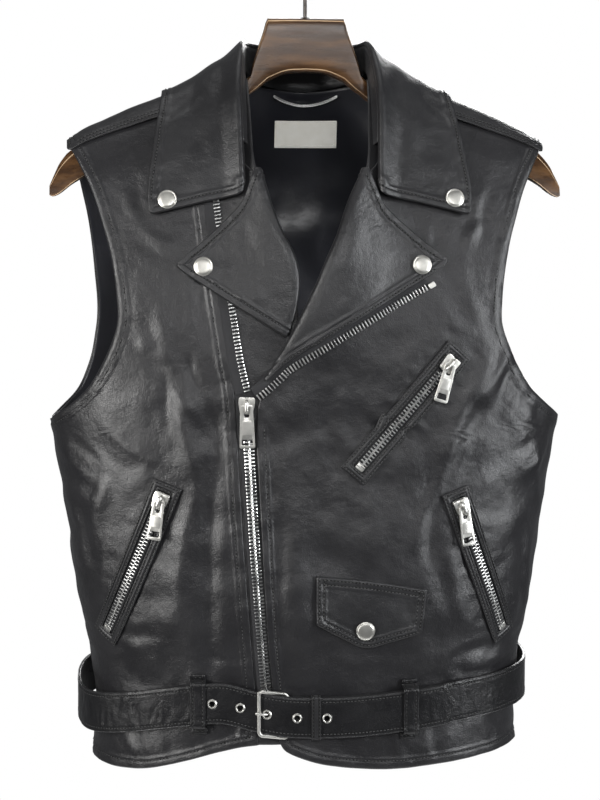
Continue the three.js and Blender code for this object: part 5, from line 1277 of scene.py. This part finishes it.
def plate(loops, low, high, bevel=0.3):
    """A bevelled plate from outlines and its holes in (level, up), between two heights out."""
    curve = bpy.data.curves.new("plate", "CURVE")
    curve.dimensions = "2D"
    curve.fill_mode = "BOTH"
    curve.extrude = (high - low) / 2 - bevel
    curve.bevel_depth = bevel
    curve.bevel_resolution = 2
    curve.offset = -bevel
    for loop in loops:
        spline = curve.splines.new("POLY")
        spline.points.add(len(loop) - 1)
        spline.points.foreach_set("co", np.concatenate([loop, np.zeros((len(loop), 2))], 1).ravel())
        spline.use_cyclic_u = True
    holder = bpy.data.objects.new("plate", curve)
    mesh = bpy.data.meshes.new_from_object(holder)
    work = bmesh.new()
    work.from_mesh(mesh)
    bmesh.ops.remove_doubles(work, verts=work.verts, dist=1e-4)
    bmesh.ops.recalc_face_normals(work, faces=work.faces)
    points = np.array([vertex.co[:] for vertex in work.verts])
    faces = [[vertex.index for vertex in face.verts] for face in work.faces]
    work.free()
    bpy.data.objects.remove(holder)
    bpy.data.curves.remove(curve)
    bpy.data.meshes.remove(mesh)
    middle = (low + high) / 2
    return np.stack([points[:, 0], middle + points[:, 2], points[:, 1]], -1), faces


PLATE_LOW, PLATE_HIGH = 3.2, 4.6
PIVOT_OUT = PLATE_HIGH + 1.6


def slider_and_pull(name, place, lift, slant, lean, wide, long):
    """A slider turned to its zip's slant, and its pull, which hangs at a lean of its own."""
    put = at_frame(place, lift, lean)
    turn = slant - lean
    shoulders = [(-6.9, 7.4), (-7, 1.6), (-5.3, -7.4), (5.3, -7.4), (7, 1.6), (6.9, 7.4), (1.4, 7.4),
                 (0, 4.6), (-1.4, 7.4)]
    top = plate([rounded(shoulders, (2.2, 2, 1.8, 1.8, 2, 2.2, 0.8, 1.0, 0.8))], PLATE_LOW, PLATE_HIGH, 0.45)
    middle = rounded([(-5.1, 7.0), (-5.1, -6.9), (5.1, -6.9), (5.1, 7.0)], 1.4)
    body = plate([middle], 0.1, PLATE_LOW + 0.2, 0.25)
    foot = plate([rounded([(-6.4, 7.2), (-5.2, -7.2), (5.2, -7.2), (6.4, 7.2)], 1.8)], 0.0, 1.0, 0.3)
    arch = catmull([(-6.2, PLATE_HIGH - 0.3), (-6.1, PIVOT_OUT + 0.9), (-4.5, PIVOT_OUT + 2.3),
                    (-0.6, PIVOT_OUT + 2.6), (3.0, PIVOT_OUT + 2.1), (4.6, PIVOT_OUT + 0.2),
                    (4.7, PLATE_HIGH - 0.3)], np.linspace(0, 1, 34))
    path = np.stack([0 * arch[:, 0], arch[:, 1], arch[:, 0]], -1)
    bridge = tube_mesh(path, np.array([1.0, 0, 0]), 1.7, 3.0, 14)
    crown = plate([rounded([(-2.6, 3.4), (-2.6, -3.0), (2.6, -3.0), (2.6, 3.4)], 1.6)], PLATE_HIGH - 0.3,
                  PLATE_HIGH + 0.5, 0.3)
    points, faces = joined([top, body, foot, crown, bridge])
    make_mesh(f"slider_{name}_metal", put(points, turn), faces, "nickel", f"slider_{name}")

    half = wide / 2
    neck = half - 1.3
    put = at_frame(place, lift + PIVOT_OUT, lean)
    outline = rounded([(-neck, 1), (neck, 1), (half, -long), (-half, -long)], (1.8, 1.8, 2.0, 2.0), 7)
    slot = rounded([(-2.2, -1), (-2.2, -9.6), (2.2, -9.6), (2.2, -1)], (1.0, 1.6, 1.6, 1.0))
    low, high = -long + 2.6, -long + 7.6
    window = rounded([(-half + 2.1, high), (-half + 2.0, low), (half - 2.0, low), (half - 2.1, high)], 0.9)
    body = plate([outline, slot, window], -0.75, 0.75, 0.3)
    pad = plate([rounded([(-neck + 1.1, -12.2), (-half + 2.0, high + 3), (half - 2.0, high + 3),
                          (neck - 1.1, -12.2)], 1.6)], 0.5, 1.0, 0.22)
    points, faces = joined([body, pad])
    pull = make_mesh(f"pull_{name}_metal", put(points), faces, "nickel", f"pull_{name}")
    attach(pull, f"pull_tab_{name}")


# Pockets
POCKET_PULL_WIDE, POCKET_PULL_LONG = 12.6, 33.5
SLOT_HALF, END_BAND = 5.6, 7


def pocket(name, start, end, slant, lean, wide, lift):
    """A pocket's leather frame with its zip, slider and pull."""
    start, end = np.array(start, float), np.array(end, float)

    def line(shares):
        at = mix(start, end, np.asarray(shares)[:, None])
        return spot(at[:, 0], at[:, 1])

    length = float(np.linalg.norm(np.diff(skin(line([0, 1]), 0, plain=True), axis=0)))

    def loop(half_width, margin):
        """Places round the frame: along one long side, an end, the other side, an end."""
        shares = np.linspace(margin, 1 - margin, 90)
        first, second = (beside(line(shares[::way]), half_width) for way in (1, -1))
        ends = [mix(a, b, np.linspace(0, 1, 14)[1:-1, None])
                for a, b in ((first[-1], second[0]), (second[-1], first[0]))]
        return np.concatenate([first, ends[0], second, ends[1]])

    outer, inner = loop(wide / 2, 0), loop(SLOT_HALF, END_BAND / length)
    shares = np.linspace(0, 1, 13)
    places = mix(outer[:, None], inner[:, None], shares[None, :, None])
    across = np.linalg.norm(form_point(outer) - form_point(inner), axis=-1)[:, None] * shares[None]
    total = across[:, -1:]
    swell = 0.8 * np.sqrt(np.clip(1 - (2 * across / total - 1) ** 2, 0, 1))
    groove = 0.75 * (np.exp(-(((across - 2.0) / 0.8) ** 2)) + np.exp(-(((across - total + 2.2) / 0.8) ** 2)))
    bottom = skin(places, lift, plain=True)
    top = skin(places, lift + WELT_THICK - 0.25, plain=True)
    top = top + frame_at(places)[2] * (swell - groove)[..., None]
    rings = np.concatenate([bottom, top[:, ::-1]], 1)
    make_mesh(f"welt_{name}_leather", *closed_rings(rings), "leather_trim", f"welt_{name}")
    for index in (2.4, 9.6):
        low = int(index)
        row = mix(top[:, low], top[:, low + 1], index - low)
        row, around = (np.concatenate([ring, ring[:1]]) for ring in (row, outer))
        stitch(f"welt_{name}", row, frame_at(around)[2])
    sew(f"welt_{name}")

    slider_at, foot = (END_BAND + 8.4) / length, (END_BAND + 1) / length
    zip_line = line(np.linspace(1 - foot, slider_at + 9 / length, 90))
    strip(f"zip_{name}_tape", f"zip_{name}", zip_line, (-4.6, -2.4, 0, 2.4, 4.6), lift, plain=True)
    make_mesh(f"zip_{name}_teeth", *closed_teeth(zip_line, 3.9, lift + 0.4, lift + 2.1, plain=True), "teeth",
              smooth_shade=False)
    metal_stop(f"zip_{name}_stop", zip_line[::-1], (-3.8, 3.8), (-4.6, 0.6), lift + 0.3, lift + 1.9)
    slider_and_pull(name, line([slider_at])[0], lift + 0.5, slant, lean, POCKET_PULL_WIDE, POCKET_PULL_LONG)


# Coin pocket and press studs
FLAP = {"left": 2, "right": 96, "top_left": 167, "top_right": 153, "low": 127, "low_right": 116.5,
        "point": 103.5, "point_x": 43.5}
SNAP_RADIUS = 8.25


def coin_flap():
    u, v = spread(95), spread(52)
    right = FLAP["right"] - 4
    middle = FLAP["point_x"]
    x = mix(FLAP["left"], right, u)
    z = np.where(x < middle, mix(FLAP["low"], FLAP["point"], (x - FLAP["left"]) / (middle - FLAP["left"])),
                 mix(FLAP["point"], FLAP["low_right"], (x - middle) / (right - middle)))
    z = z + 1.6 * np.exp(-(((x - middle) / 4) ** 2)) - 0.4
    top = trace([(FLAP["left"], FLAP["top_left"]), (49.5, 161.5), (FLAP["right"], FLAP["top_right"])], u)
    left_side = between(spot(FLAP["left"], FLAP["low"]), spot(FLAP["left"], FLAP["top_left"]))(v)
    right_side = between(spot(right, FLAP["low_right"]), spot(FLAP["right"], FLAP["top_right"]))(v)
    places = fill(u, v, spot(x, z), right_side, top, left_side)
    outer = sewn_edges(skin(places, ON_PANEL + LEATHER, True), TRIM)
    inner = skin(places, ON_PANEL, True)
    piece = make_mesh("coin_flap_leather", *wall(outer, inner), "leather_trim", "coin_flap")
    ends = "left", "right"
    for inset in (2.0, 6.2):
        for side, meets in (("bottom", ends), ("left", ("bottom",)), ("right", ("bottom",)), ("top", ends)):
            stitch_side("coin_flap_leather", outer, side, inset, meets)
    sew("coin_flap_leather")
    return piece


def lathe(profile, origin, axis, around=44):
    """A turned shape from (radius, height) pairs, first and last on the axis."""
    axis = unit(np.asarray(axis, float))
    side = unit(np.cross(axis, [0.31, 0.2, 0.93]))
    other = np.cross(axis, side)
    angle = circle(around)
    ring = np.cos(angle)[:, None] * side + np.sin(angle)[:, None] * other
    points = [origin + axis * profile[0][1]]
    for radius, height in profile[1:-1]:
        points += list(origin + axis * height + ring * radius)
    points.append(origin + axis * profile[-1][1])
    rows = len(profile) - 2
    faces = [list(face) for face in grid_quads(rows, around, 1, wrap_j=True)]
    last = len(points) - 1
    for k in range(around):
        k2 = (k + 1) % around
        faces.append([0, 1 + k, 1 + k2])
        faces.append([last, 1 + (rows - 1) * around + k2, 1 + (rows - 1) * around + k])
    return np.array(points), faces


ON_COLLAR = FALL_LIFT + LEATHER - 0.9
SNAPS = (
    ("snap_collar_right", -122, 486, ON_COLLAR, False), ("snap_collar_left", 123.5, 487.5, ON_COLLAR, False),
    ("snap_lapel_right", -92, 430, LAPEL_RIGHT_LIFT + LEATHER + 0.5, False),
    ("snap_lapel_left", 93.5, 431.5, LAPEL_LEFT_LIFT + LEATHER + 0.5, True),
    ("snap_coin_flap", 43.7, 120, ON_PANEL + LEATHER + 0.5, True))


def snaps():
    r = SNAP_RADIUS
    dome = [(r * 0.83 * math.sin(a) ** 0.8, 1.55 + 0.95 * math.cos(a))
            for a in np.linspace(math.pi / 2, 0.0, 12)]
    profile = [(0, 0.1), (r - 0.5, 0.1), (r, 0.45), (r + 0.02, 0.95), (r - 0.3, 1.35), (r - 0.8, 1.55),
               (r - 1.15, 1.42), *dome]
    for name, x, z, lift, over in SNAPS:
        place = spot(x, z)
        points, faces = lathe(profile, skin(place, lift, over, plain=True), frame_at(place)[2], 52)
        make_mesh(f"{name}_cap", points, faces, "satin", name)


# Belt
def place_round(angle, z):
    """The place on the form at an angle from the front, from -180 to 180, and a height."""
    at_back = np.abs(angle) > 90
    turn = np.where(at_back, np.sign(angle) * (180 - np.abs(angle)), angle)
    rise = z / UNDERARM_Z
    return np.stack([turn, np.where(at_back, 4 - rise, rise)], -1)


def belt_frame(angle):
    """A point under the belt, the way out of it and the level way along it."""
    angle = np.asarray(angle, float)
    wrapped = np.where(angle > 180, angle - 360, angle)
    place = place_round(wrapped, column(BELT_PATH, "angle", wrapped, "z"))
    out = unit(frame_at(place)[2] * [1, 1, 0])
    layer = BELT_LAYER * smooth(angle, BELT_RISE_FROM, BELT_RISE_TO)
    off = column(BELT_PATH, "angle", wrapped, "off") + layer
    base = form_point(place) + out * off[..., None]
    return base, out, np.stack([-out[..., 1], out[..., 0], 0 * out[..., 0]], -1)


def belt_angle(x, whole=0):
    """The angle at which the belt is at a distance across, on its second turn if whole is 360."""
    half = float(column(BELOW, "z", 50, "half"))
    return whole + math.copysign(math.degrees(math.asin((abs(x) / half) ** (SECTION_POWER / 2))), x)


def belt_out(angle):
    run = belt_frame(angle + 0.6)[0] - belt_frame(angle - 0.6)[0]
    run[2] = 0
    run = unit(run)
    return np.array([run[1], -run[0], 0])


def crackle(along, aside, seed, count):
    """Short creases that run across a bent strap."""
    rng = np.random.default_rng(seed)
    total = np.zeros(np.broadcast_shapes(along.shape, aside.shape))
    longest = float(np.max(along))
    for _ in range(count):
        at, middle = rng.random() * longest, (rng.random() - 0.5) * 22
        lean, wide, reach = (rng.random() - 0.5) * 0.8, 1.3 + 1.7 * rng.random(), 5 + 9 * rng.random()
        depth = 0.1 + 0.26 * rng.random()
        off = along - at - lean * (aside - middle)
        fade = np.exp(-(((aside - middle) / reach) ** 4))
        dent, rim = np.exp(-((off / wide) ** 2)), np.exp(-(((off - 2 * wide) / wide) ** 2))
        total = total - depth * fade * (dent - 0.6 * rim)
    return total


def belt():
    angles = np.concatenate([np.arange(BELT_START, BELT_TIP - BELT_TIP_TAPER, 0.5),
                             np.linspace(BELT_TIP - BELT_TIP_TAPER, BELT_TIP, 9)])
    base, out, _ = belt_frame(angles)
    narrow = 1 - 0.82 * smooth(angles, BELT_TIP - BELT_TIP_TAPER, BELT_TIP)
    share = np.sin(np.linspace(-1, 1, 23) * math.pi / 2)
    rise = share[None] * (BELT_HALF * narrow)[:, None]
    inner = np.repeat(base[:, None], len(share), 1)
    inner[..., 2] += rise
    wave = 0.35 * np.sin(angles * 0.43 + 1.1) + 0.25 * np.sin(angles * 1.07)
    tilt = share[None] * wave[:, None] * (0.5 + 0.5 * np.sin(angles * 0.19))[:, None]
    outer = inner + normals(inner) * (BELT_THICK - 0.3)
    edge = (BELT_HALF * narrow)[:, None] - np.abs(rise)
    crown = 0.3 * smooth(edge, 0, 2.2) + 0.25 * (1 - smooth(edge, 3.4, 6.5)) * smooth(edge, 0, 1.6)
    crown = crown - 0.6 * np.exp(-(((edge - 3.1) / 0.85) ** 2))
    worn = crackle(lengths(base)[:, None], rise, seed=43, count=190)
    worn = worn * (0.25 + 0.75 * (1 - smooth(np.abs(angles - 300), 30, 50)))[:, None]
    outer = outer + normals(inner) * (crown + worn * smooth(edge, 2.5, 6))[..., None]
    sway = out[:, None] * tilt[..., None] * 0.4
    inner, outer = inner + sway, outer + sway
    strap = make_mesh("belt_leather", *wall(outer, inner), "leather_belt", "belt_strap")
    line, ways = (np.concatenate([grid[:, 0], grid[-1, 1:-1], grid[::-1, -1]])
                  for grid in (outer, normals(outer)))
    # Bead round the belt's outline in the lighter edge material: edge paint and painted highlight along the
    # edges
    make_mesh("belt_edge_paint_and_highlight", *tube_mesh(line, ways, 1.2, 0.9, 8), "edge")
    for side in ("bottom", "top"):
        stitch_side("belt_leather", outer, side, 3.1, ("left", "right"))
    sew("belt_leather")

    holes = [(belt_frame(angle)[0], belt_out(angle)) for angle in (belt_angle(x, 360) for x in EYELETS)]
    drills = [tube_mesh(np.stack([centre - way * 4, centre + way * 8]), UP, HOLE_WIDE, HOLE_WIDE, 20)
              for centre, way in holes]
    drill = make_mesh("belt_drill", *joined(drills), "leather_belt")
    cut = strap.modifiers.new("holes", "BOOLEAN")
    cut.operation = "DIFFERENCE"
    cut.object = drill
    done = bpy.data.meshes.new_from_object(strap.evaluated_get(bpy.context.evaluated_depsgraph_get()))
    strap.modifiers.clear()
    strap.data = done
    bpy.data.objects.remove(drill)
    inner_r, outer_r, top = 2.4, 4.35, BELT_THICK + 0.4
    section = [(inner_r, 0.1), (inner_r, top - 0.2), (inner_r + 0.35, top + 0.65), (3.1, top + 0.9),
               (3.5, top + 0.85), (outer_r - 0.25, top + 0.35), (outer_r, top), (outer_r - 0.3, top - 0.35),
               (inner_r + 0.45, top - 0.4), (inner_r + 0.45, 0.1)]
    turn = circle(32)[:, None]
    for i, (centre, axis) in enumerate(holes, 1):
        side = unit(np.cross(axis, UP))
        way = np.cos(turn) * side + np.sin(turn) * np.cross(axis, side)
        rings = np.stack([centre + axis * height + way * radius for radius, height in section], 1)
        make_mesh(f"eyelet_{i}_ring", *closed_rings(rings), "nickel", f"eyelet_{i}")
    return strap


def buckle():
    outer, outer_way, _ = belt_frame(belt_angle(-47, 360))
    hinge, hinge_way, _ = belt_frame(belt_angle(-23, 0))
    bar = outer + outer_way * (BELT_THICK + 2.5)
    pivot = hinge + hinge_way * 0.6
    along = pivot - bar
    normal = unit(np.cross(along, UP))
    long = float(np.linalg.norm(along))
    way = along / long
    corner, half = 3.4, 19.1
    path = []
    for index, (u, v) in enumerate(((0, -1), (1, -1), (1, 1), (0, 1))):
        for angle in np.radians((index + 2) * 90 + np.linspace(0, 90, 9)):
            path.append((mix(corner, long - corner, u) + corner * math.cos(angle),
                         v * (half - corner) + corner * math.sin(angle)))
    path = catmull([*path, path[0]], np.linspace(0, 1, 141))[:-1]
    points = bar + path[:, :1] * way + path[:, 1:] * UP
    make_mesh("buckle_frame_metal", *tube_mesh(points, normal, 3.2, 3.0, 18, True), "nickel", "buckle_frame")
    prong = catmull([(21.2, -1.1), (15, -1.9), (9.6, -3.6), (7.4, -2.8), (7, 1.4), (5, 2.8), (1, 3.3),
                     (-2.8, 3)], np.linspace(0, 1, 70))
    points = bar + UP * 0.3 + prong[:, :1] * way + prong[:, 1:] * normal
    make_mesh("buckle_prong_metal", *tube_mesh(points, UP, 2.4, 2.4, 14), "nickel", "buckle_prong")


def keeper():
    """A closed leather ring round both layers of the belt."""
    base, out, level = belt_frame(belt_angle(1.2, 0))
    half, low, high = BELT_HALF + 0.7, -0.6, BELT_LAYER + BELT_THICK + 0.6
    wide, thick = 8, 1.3
    corners = rounded([(low, -half), (high, -half), (high, half), (low, half)], 1.6, 6)
    path = catmull([*corners, corners[0]], np.linspace(0, 1, 121))[:-1]
    line = base + path[:, :1] * out + path[:, 1:] * UP
    tangent = unit(np.roll(line, -1, 0) - np.roll(line, 1, 0))
    away = unit(np.cross(tangent, level))
    if (away[0] * (line[0] - line.mean(0))).sum() < 0:
        away = -away
    section = rounded([(-wide / 2, 0), (wide / 2, 0), (wide / 2, thick), (-wide / 2, thick)], 0.55, 4)
    rings = line[:, None] + level * section[None, :, :1] + away[:, None] * section[None, :, 1:]
    name = "belt_keeper_leather"
    make_mesh(name, *closed_rings(rings), "leather_trim", "belt_keeper")
    for side in (-1, 1):
        stitch(name, line + level * side * (wide / 2 - 1.6) + away * thick, away, radius=0.28, length=1.9)
    sew(name)


LOOP_FOOT = 20


def belt_loop(name, angle, layers=1, over=False):
    """A loop over one or two layers of the belt, sewn to the cloth above and below it."""
    base, out, level = belt_frame(angle)
    high = (BELT_LAYER if layers > 1 else 0) + BELT_THICK + 0.5
    wide = 12.4
    rows = []
    for share in np.linspace(-1, 1, 13):
        row = []
        for up in (-26, -23.4, -20.8, -18.8, -12, 0, 12, 18.8, 20.8, 23.4, 26):
            if abs(up) > LOOP_FOOT:
                place = walk(place_round(angle, base[2] + up), share * wide / 2, 0)
                row.append(skin(place, ON_PANEL + 0.5, over, plain=True))
            else:
                row.append(base + level * share * wide / 2 + out * high + UP * up)
        rows.append(catmull(row, np.linspace(0, 1, 46)))
    grid = np.array(rows)
    facing = normals(grid)
    if (facing[6, 23] * out).sum() < 0:
        grid = grid[::-1]
        facing = normals(grid)
    edge = np.minimum(np.arange(13), 12 - np.arange(13)) * wide / 12
    profile = LEATHER - 0.25 * np.exp(-(((edge - 2) / 0.8) ** 2))
    outer = grid + facing * profile[:, None, None]
    piece = make_mesh(f"{name}_leather", *wall(outer, grid), "leather_belt", name)
    for side in ("left", "right"):
        stitch_side(f"{name}_leather", outer, side, 2.0, ("bottom", "top"), radius=0.3)
    for side in ("bottom", "top"):
        stitch_side(f"{name}_leather", outer, side, 2.2, ("left", "right"), radius=0.3)
    sew(f"{name}_leather")
    return piece


# Inside of the neck
def neck_facing(side):
    """Leather strip from the lapel's upper end to the neck seam, under the collar's roll."""
    v = np.linspace(0, 1, 60)
    seen = catmull([(43.5, 503), (47, 512), (50, 528), (51, 548), (52, 572), (53, 594)], v)
    hidden = catmull([(60, 500), (62, 514), (63, 530), (64, 550), (64, 574), (64, 592)], v)
    start, end = (spot(*(line * [side, 1]).T) for line in (seen, hidden)[::side])
    places = mix(start[None], end[None], np.linspace(0, 1, 10)[:, None, None])
    name = "neck_facing_left" if side > 0 else "neck_facing_right"
    outer, inner = skin(places, 0.1, plain=True), skin(places, -1.3, plain=True)
    return make_mesh(name, *wall(outer, inner), "leather_trim")


def neck_trim():
    x = np.linspace(-25, 33.5, 60)
    z = np.linspace(538.5, 562.5, 26)
    places = spot(x[:, None], z[None], True)[::-1]
    inner, outer = skin(places, LABEL_LIFT, plain=True), skin(places, LABEL_LIFT + 0.9, plain=True)
    away = unit(inner - outer)
    i, j = np.arange(60)[:, None], np.arange(26)[None]
    edge = np.minimum(np.minimum(i, 59 - i), np.minimum(j, 25 - j) * 0.96)
    puff = 0.3 * smooth(edge, 0, 3) - 0.25 * np.exp(-(((edge - 2.4) / 0.7) ** 2))
    inner = inner + away * puff[..., None]
    label = make_mesh("neck_label_cloth", *wall(outer, inner), "label", "neck_label")
    border_line = np.concatenate([inner[2:-2, 2], inner[-3, 2:-2], inner[-3:1:-1, -3], inner[2, -3:1:-1]])
    face = unit(away[30, 13])
    stitch("neck_label", border_line + face * 0.1, np.broadcast_to(face, border_line.shape), pitch=2.6,
           length=1.8, radius=0.3)
    STITCHES.pop("neck_label_channel")
    make_mesh("stitches_neck_label", *joined(STITCHES.pop("neck_label")), "label")

    share = np.linspace(0, 1, 90)
    sag = 8 * (1 - (2 * share - 1) ** 2)
    path = skin(spot(mix(-27, 33, share), 585 - sag, True), LABEL_LIFT - 0.7, plain=True)
    beads = 2.3 + 0.5 * np.abs(np.sin(share * math.pi * 26))
    make_mesh("hang_loop_metal", *tube_mesh(path, UP, beads, beads, 12), "loop", "hang_loop")
    return label


# Hanger
def tucked(points):
    x = np.abs(points[..., 0])
    z = np.minimum(points[..., 2], shoulder_z(x) - TUCK["top"])
    front = form_point(spot(x, z, False))[..., 1] + TUCK["front"]
    rear = form_point(spot(x, z, True))[..., 1] - TUCK["back"]
    y = np.clip(points[..., 1], np.minimum(front, rear), np.maximum(front, rear))
    moved = np.stack([points[..., 0], y, z], -1)
    return np.where((x < TUCK["from"])[..., None], points, moved)


def hanger():
    x = np.concatenate([np.linspace(0, 33, 12), np.linspace(33.5, 62, 22), np.linspace(64, 200, 46),
                        np.linspace(203, 225, 16)])
    x = np.concatenate([-x[:0:-1], x])
    size = np.abs(x)
    top = np.where(size < 34, HANGER["top"][0], column(HANGER, "x", size, "top"))
    bottom = column(HANGER, "x", size, "bottom")
    centre, high = (top + bottom) / 2, (top - bottom) / 2
    deep, mid = column(HANGER, "x", size, "deep"), column(HANGER, "x", size, "y")
    arm = smooth(size, 60, 170)
    corners, chamfer = np.radians(np.array([45, 135, 225, 315])), 0.06
    angles = np.radians(np.linspace(0, 360, 73)[:-1])
    angles = angles[np.abs(angles[:, None] - corners).min(1) > chamfer + 0.02]
    angles = np.sort(np.concatenate([angles, corners - chamfer, corners + chamfer]))
    power = mix(0.3, 0.6, arm)[:, None]
    c, s = np.cos(angles)[None], np.sin(angles)[None]
    across = np.sign(c) * np.abs(c) ** power
    up = np.sign(s) * np.abs(s) ** power
    y = mid[:, None] + deep[:, None] * across
    z = centre[:, None] + high[:, None] * up + arm[:, None] * 0.16 * deep[:, None] * across
    ring = tucked(np.stack([np.broadcast_to(x[:, None], y.shape), y, z], -1))
    body = make_mesh("hanger_wood", *capped_rings(ring), "wood", "hanger_body")
    body.data.materials.append(MATERIALS["chamfer"][0])
    wanted = np.flatnonzero(np.abs(angles[:, None] - (corners[1:3] - chamfer)).min(1) < 1e-6)
    for polygon in body.data.polygons:
        low = min(index % len(angles) for index in polygon.vertices)
        if low in wanted and len(polygon.vertices) == 4:
            polygon.material_index = 1


def hook():
    swing, bend_z = 9, 664
    join = math.acos((HOOK_CENTRE_Z - bend_z) / (HOOK_RADIUS + swing) * 0.999)
    points = [(0, z) for z in (648.4, 654, 660)]
    for i in range(6):
        angle = math.pi - (i / 5) * (math.pi / 2 - join)
        points.append((swing * math.cos(angle) + swing, bend_z + swing * math.sin(angle)))
    start = points[-1]
    angle_from = math.atan2(start[1] - HOOK_CENTRE_Z, start[0])
    radius_from = math.hypot(start[1] - HOOK_CENTRE_Z, start[0])
    for i in range(1, 41):
        angle = mix(angle_from, math.radians(205), i / 40)
        radius = mix(radius_from, HOOK_RADIUS, float(smooth(i / 40, 0, 0.25)))
        points.append((radius * math.cos(angle), HOOK_CENTRE_Z + radius * math.sin(angle)))
    line = catmull(points, np.linspace(0, 1, 160))
    path = np.stack([line[:, 0], 0 * line[:, 0], line[:, 1]], -1)
    wire = tube_mesh(path, np.array([0, 1.0, 0]), HOOK_WIRE, HOOK_WIRE, 20)
    ferrule = lathe([(0, 0), (3.6, 0), (4.2, 0.3), (4.3, 0.8), (3.6, 1.3), (2.6, 1.5), (0, 1.6)],
                    np.array([0, 0, 648.0]), UP, 36)
    make_mesh("hanger_hook_wire", *joined([wire, ferrule]), "steel", "hanger_hook")


# Stage
FLOOR_DROP, FLOOR_RADIUS = -255, 0.45
GLOW = 0.15
# Each light's name, place, the height it aims at, size, power and colour
LIGHTS = (
    ("key", (-1.7, -1.3, -0.1), -0.4, (0.6, 1.3), 60, (1.0, 0.99, 0.97)),
    ("fill", (1.75, -1.1, -0.1), -0.4, (0.5, 1.4), 50, (0.96, 0.98, 1.0)),
    ("front", (0.15, -2.7, 0.5), -0.4, (1.5, 0.5), 34, (1, 1, 1)),
    ("top", (0.0, -0.1, 1.3), -0.3, (1.5, 0.5), 8, (1, 1, 1)),
    ("rear", (0.6, 1.9, 0.3), -0.4, (1.2, 1.4), 60, (1, 1, 1)))


def stage():
    floor_z = (FLOOR_DROP - HOOK_SEAT_Z) * MM
    rings, around = 13, 96
    points = [(0, 0, floor_z)]
    for radius in np.linspace(0, 1, rings + 1)[1:] ** 1.3 * FLOOR_RADIUS:
        points += [(radius * math.cos(a), radius * math.sin(a), floor_z) for a in circle(around)]
    faces = [[0, 1 + k, 1 + (k + 1) % around] for k in range(around)]
    faces += [list(face) for face in grid_quads(rings, around, 1, wrap_j=True)]
    mesh = bpy.data.meshes.new("floor")
    mesh.from_pydata(points, [], faces)
    pale = bpy.data.materials.new("floor")
    pale.use_nodes = True
    pale.node_tree.nodes["Principled BSDF"].inputs["Base Color"].default_value = (0.82, 0.82, 0.82, 1)
    pale.node_tree.nodes["Principled BSDF"].inputs["Roughness"].default_value = 0.9
    mesh.materials.append(pale)
    floor = bpy.data.objects.new("floor", mesh)
    bpy.context.scene.collection.objects.link(floor)

    bpy.context.scene.view_settings.view_transform = "Standard"
    world = bpy.data.worlds.new("studio")
    bpy.context.scene.world = world
    world.use_nodes = True
    nodes, links = world.node_tree.nodes, world.node_tree.links
    seen = nodes["Background"]
    seen.inputs["Color"].default_value = (1, 1, 1, 1)
    seen.inputs["Strength"].default_value = 1.0
    glow = nodes.new("ShaderNodeBackground")
    glow.inputs["Color"].default_value = (0.93, 0.96, 1.0, 1)
    glow.inputs["Strength"].default_value = GLOW
    rays, switch = nodes.new("ShaderNodeLightPath"), nodes.new("ShaderNodeMixShader")
    links.new(rays.outputs["Is Camera Ray"], switch.inputs["Fac"])
    links.new(glow.outputs["Background"], switch.inputs[1])
    links.new(seen.outputs["Background"], switch.inputs[2])
    links.new(switch.outputs["Shader"], nodes["World Output"].inputs["Surface"])

    for name, place, aim, size, power, colour in LIGHTS:
        light = bpy.data.lights.new(name, "AREA")
        light.shape = "RECTANGLE"
        light.size, light.size_y = size
        light.energy = power
        light.color = colour
        lamp = bpy.data.objects.new(name, light)
        lamp.location = place
        lamp.rotation_euler = (Vector((0, 0, aim)) - Vector(place)).to_track_quat("-Z", "Y").to_euler()
        bpy.context.scene.collection.objects.link(lamp)


CAMERA_TARGET = (-4.5, 0, 310)
CAMERA_DISTANCE = 1700
CAMERA_TURN, CAMERA_TILT = -4.5, 5
LENS, SENSOR = 85, 36


def camera():
    turn, tilt = math.radians(CAMERA_TURN), math.radians(CAMERA_TILT)
    target = (np.array(CAMERA_TARGET) - UP * HOOK_SEAT_Z) * MM
    away = np.array([math.sin(turn) * math.cos(tilt), -math.cos(turn) * math.cos(tilt), math.sin(tilt)])
    place = Vector(target + away * CAMERA_DISTANCE * MM)
    data = bpy.data.cameras.new("camera")
    data.lens = LENS
    data.sensor_width = SENSOR
    data.sensor_fit = "AUTO"
    data.dof.use_dof = False
    eye = bpy.data.objects.new("camera", data)
    eye.location = place
    eye.rotation_euler = (Vector(target) - place).to_track_quat("-Z", "Y").to_euler()
    bpy.context.scene.collection.objects.link(eye)
    bpy.context.scene.camera = eye


camera()
make_materials()
stage()
left_front, right_front, extension = front_left(), front_right(), front_extension()
back_cloth, lining = back()
bands = [epaulette(1), epaulette(-1)]
collar_fall, collar_stand = collar()
left_lapel, right_lapel = lapels()
main_zip()
slider_and_pull("main", spot(-57, 313.5), LEATHER + 0.8, slant=0.04, lean=-0.02, wide=13.4, long=36)
for pocket_name, measures in POCKETS.items():
    pocket(pocket_name, *measures)
flap = coin_flap()
snaps()
strap = belt()
buckle()
keeper()
loops = [belt_loop("belt_loop_front_right", belt_angle(-97.6)),
         belt_loop("belt_loop_front_left", belt_angle(82), layers=2, over=True),
         belt_loop("belt_loop_back_right", -152), belt_loop("belt_loop_back_left", 152)]
label = neck_trim()
facings = [neck_facing(1), neck_facing(-1)]
hanger()
hook()
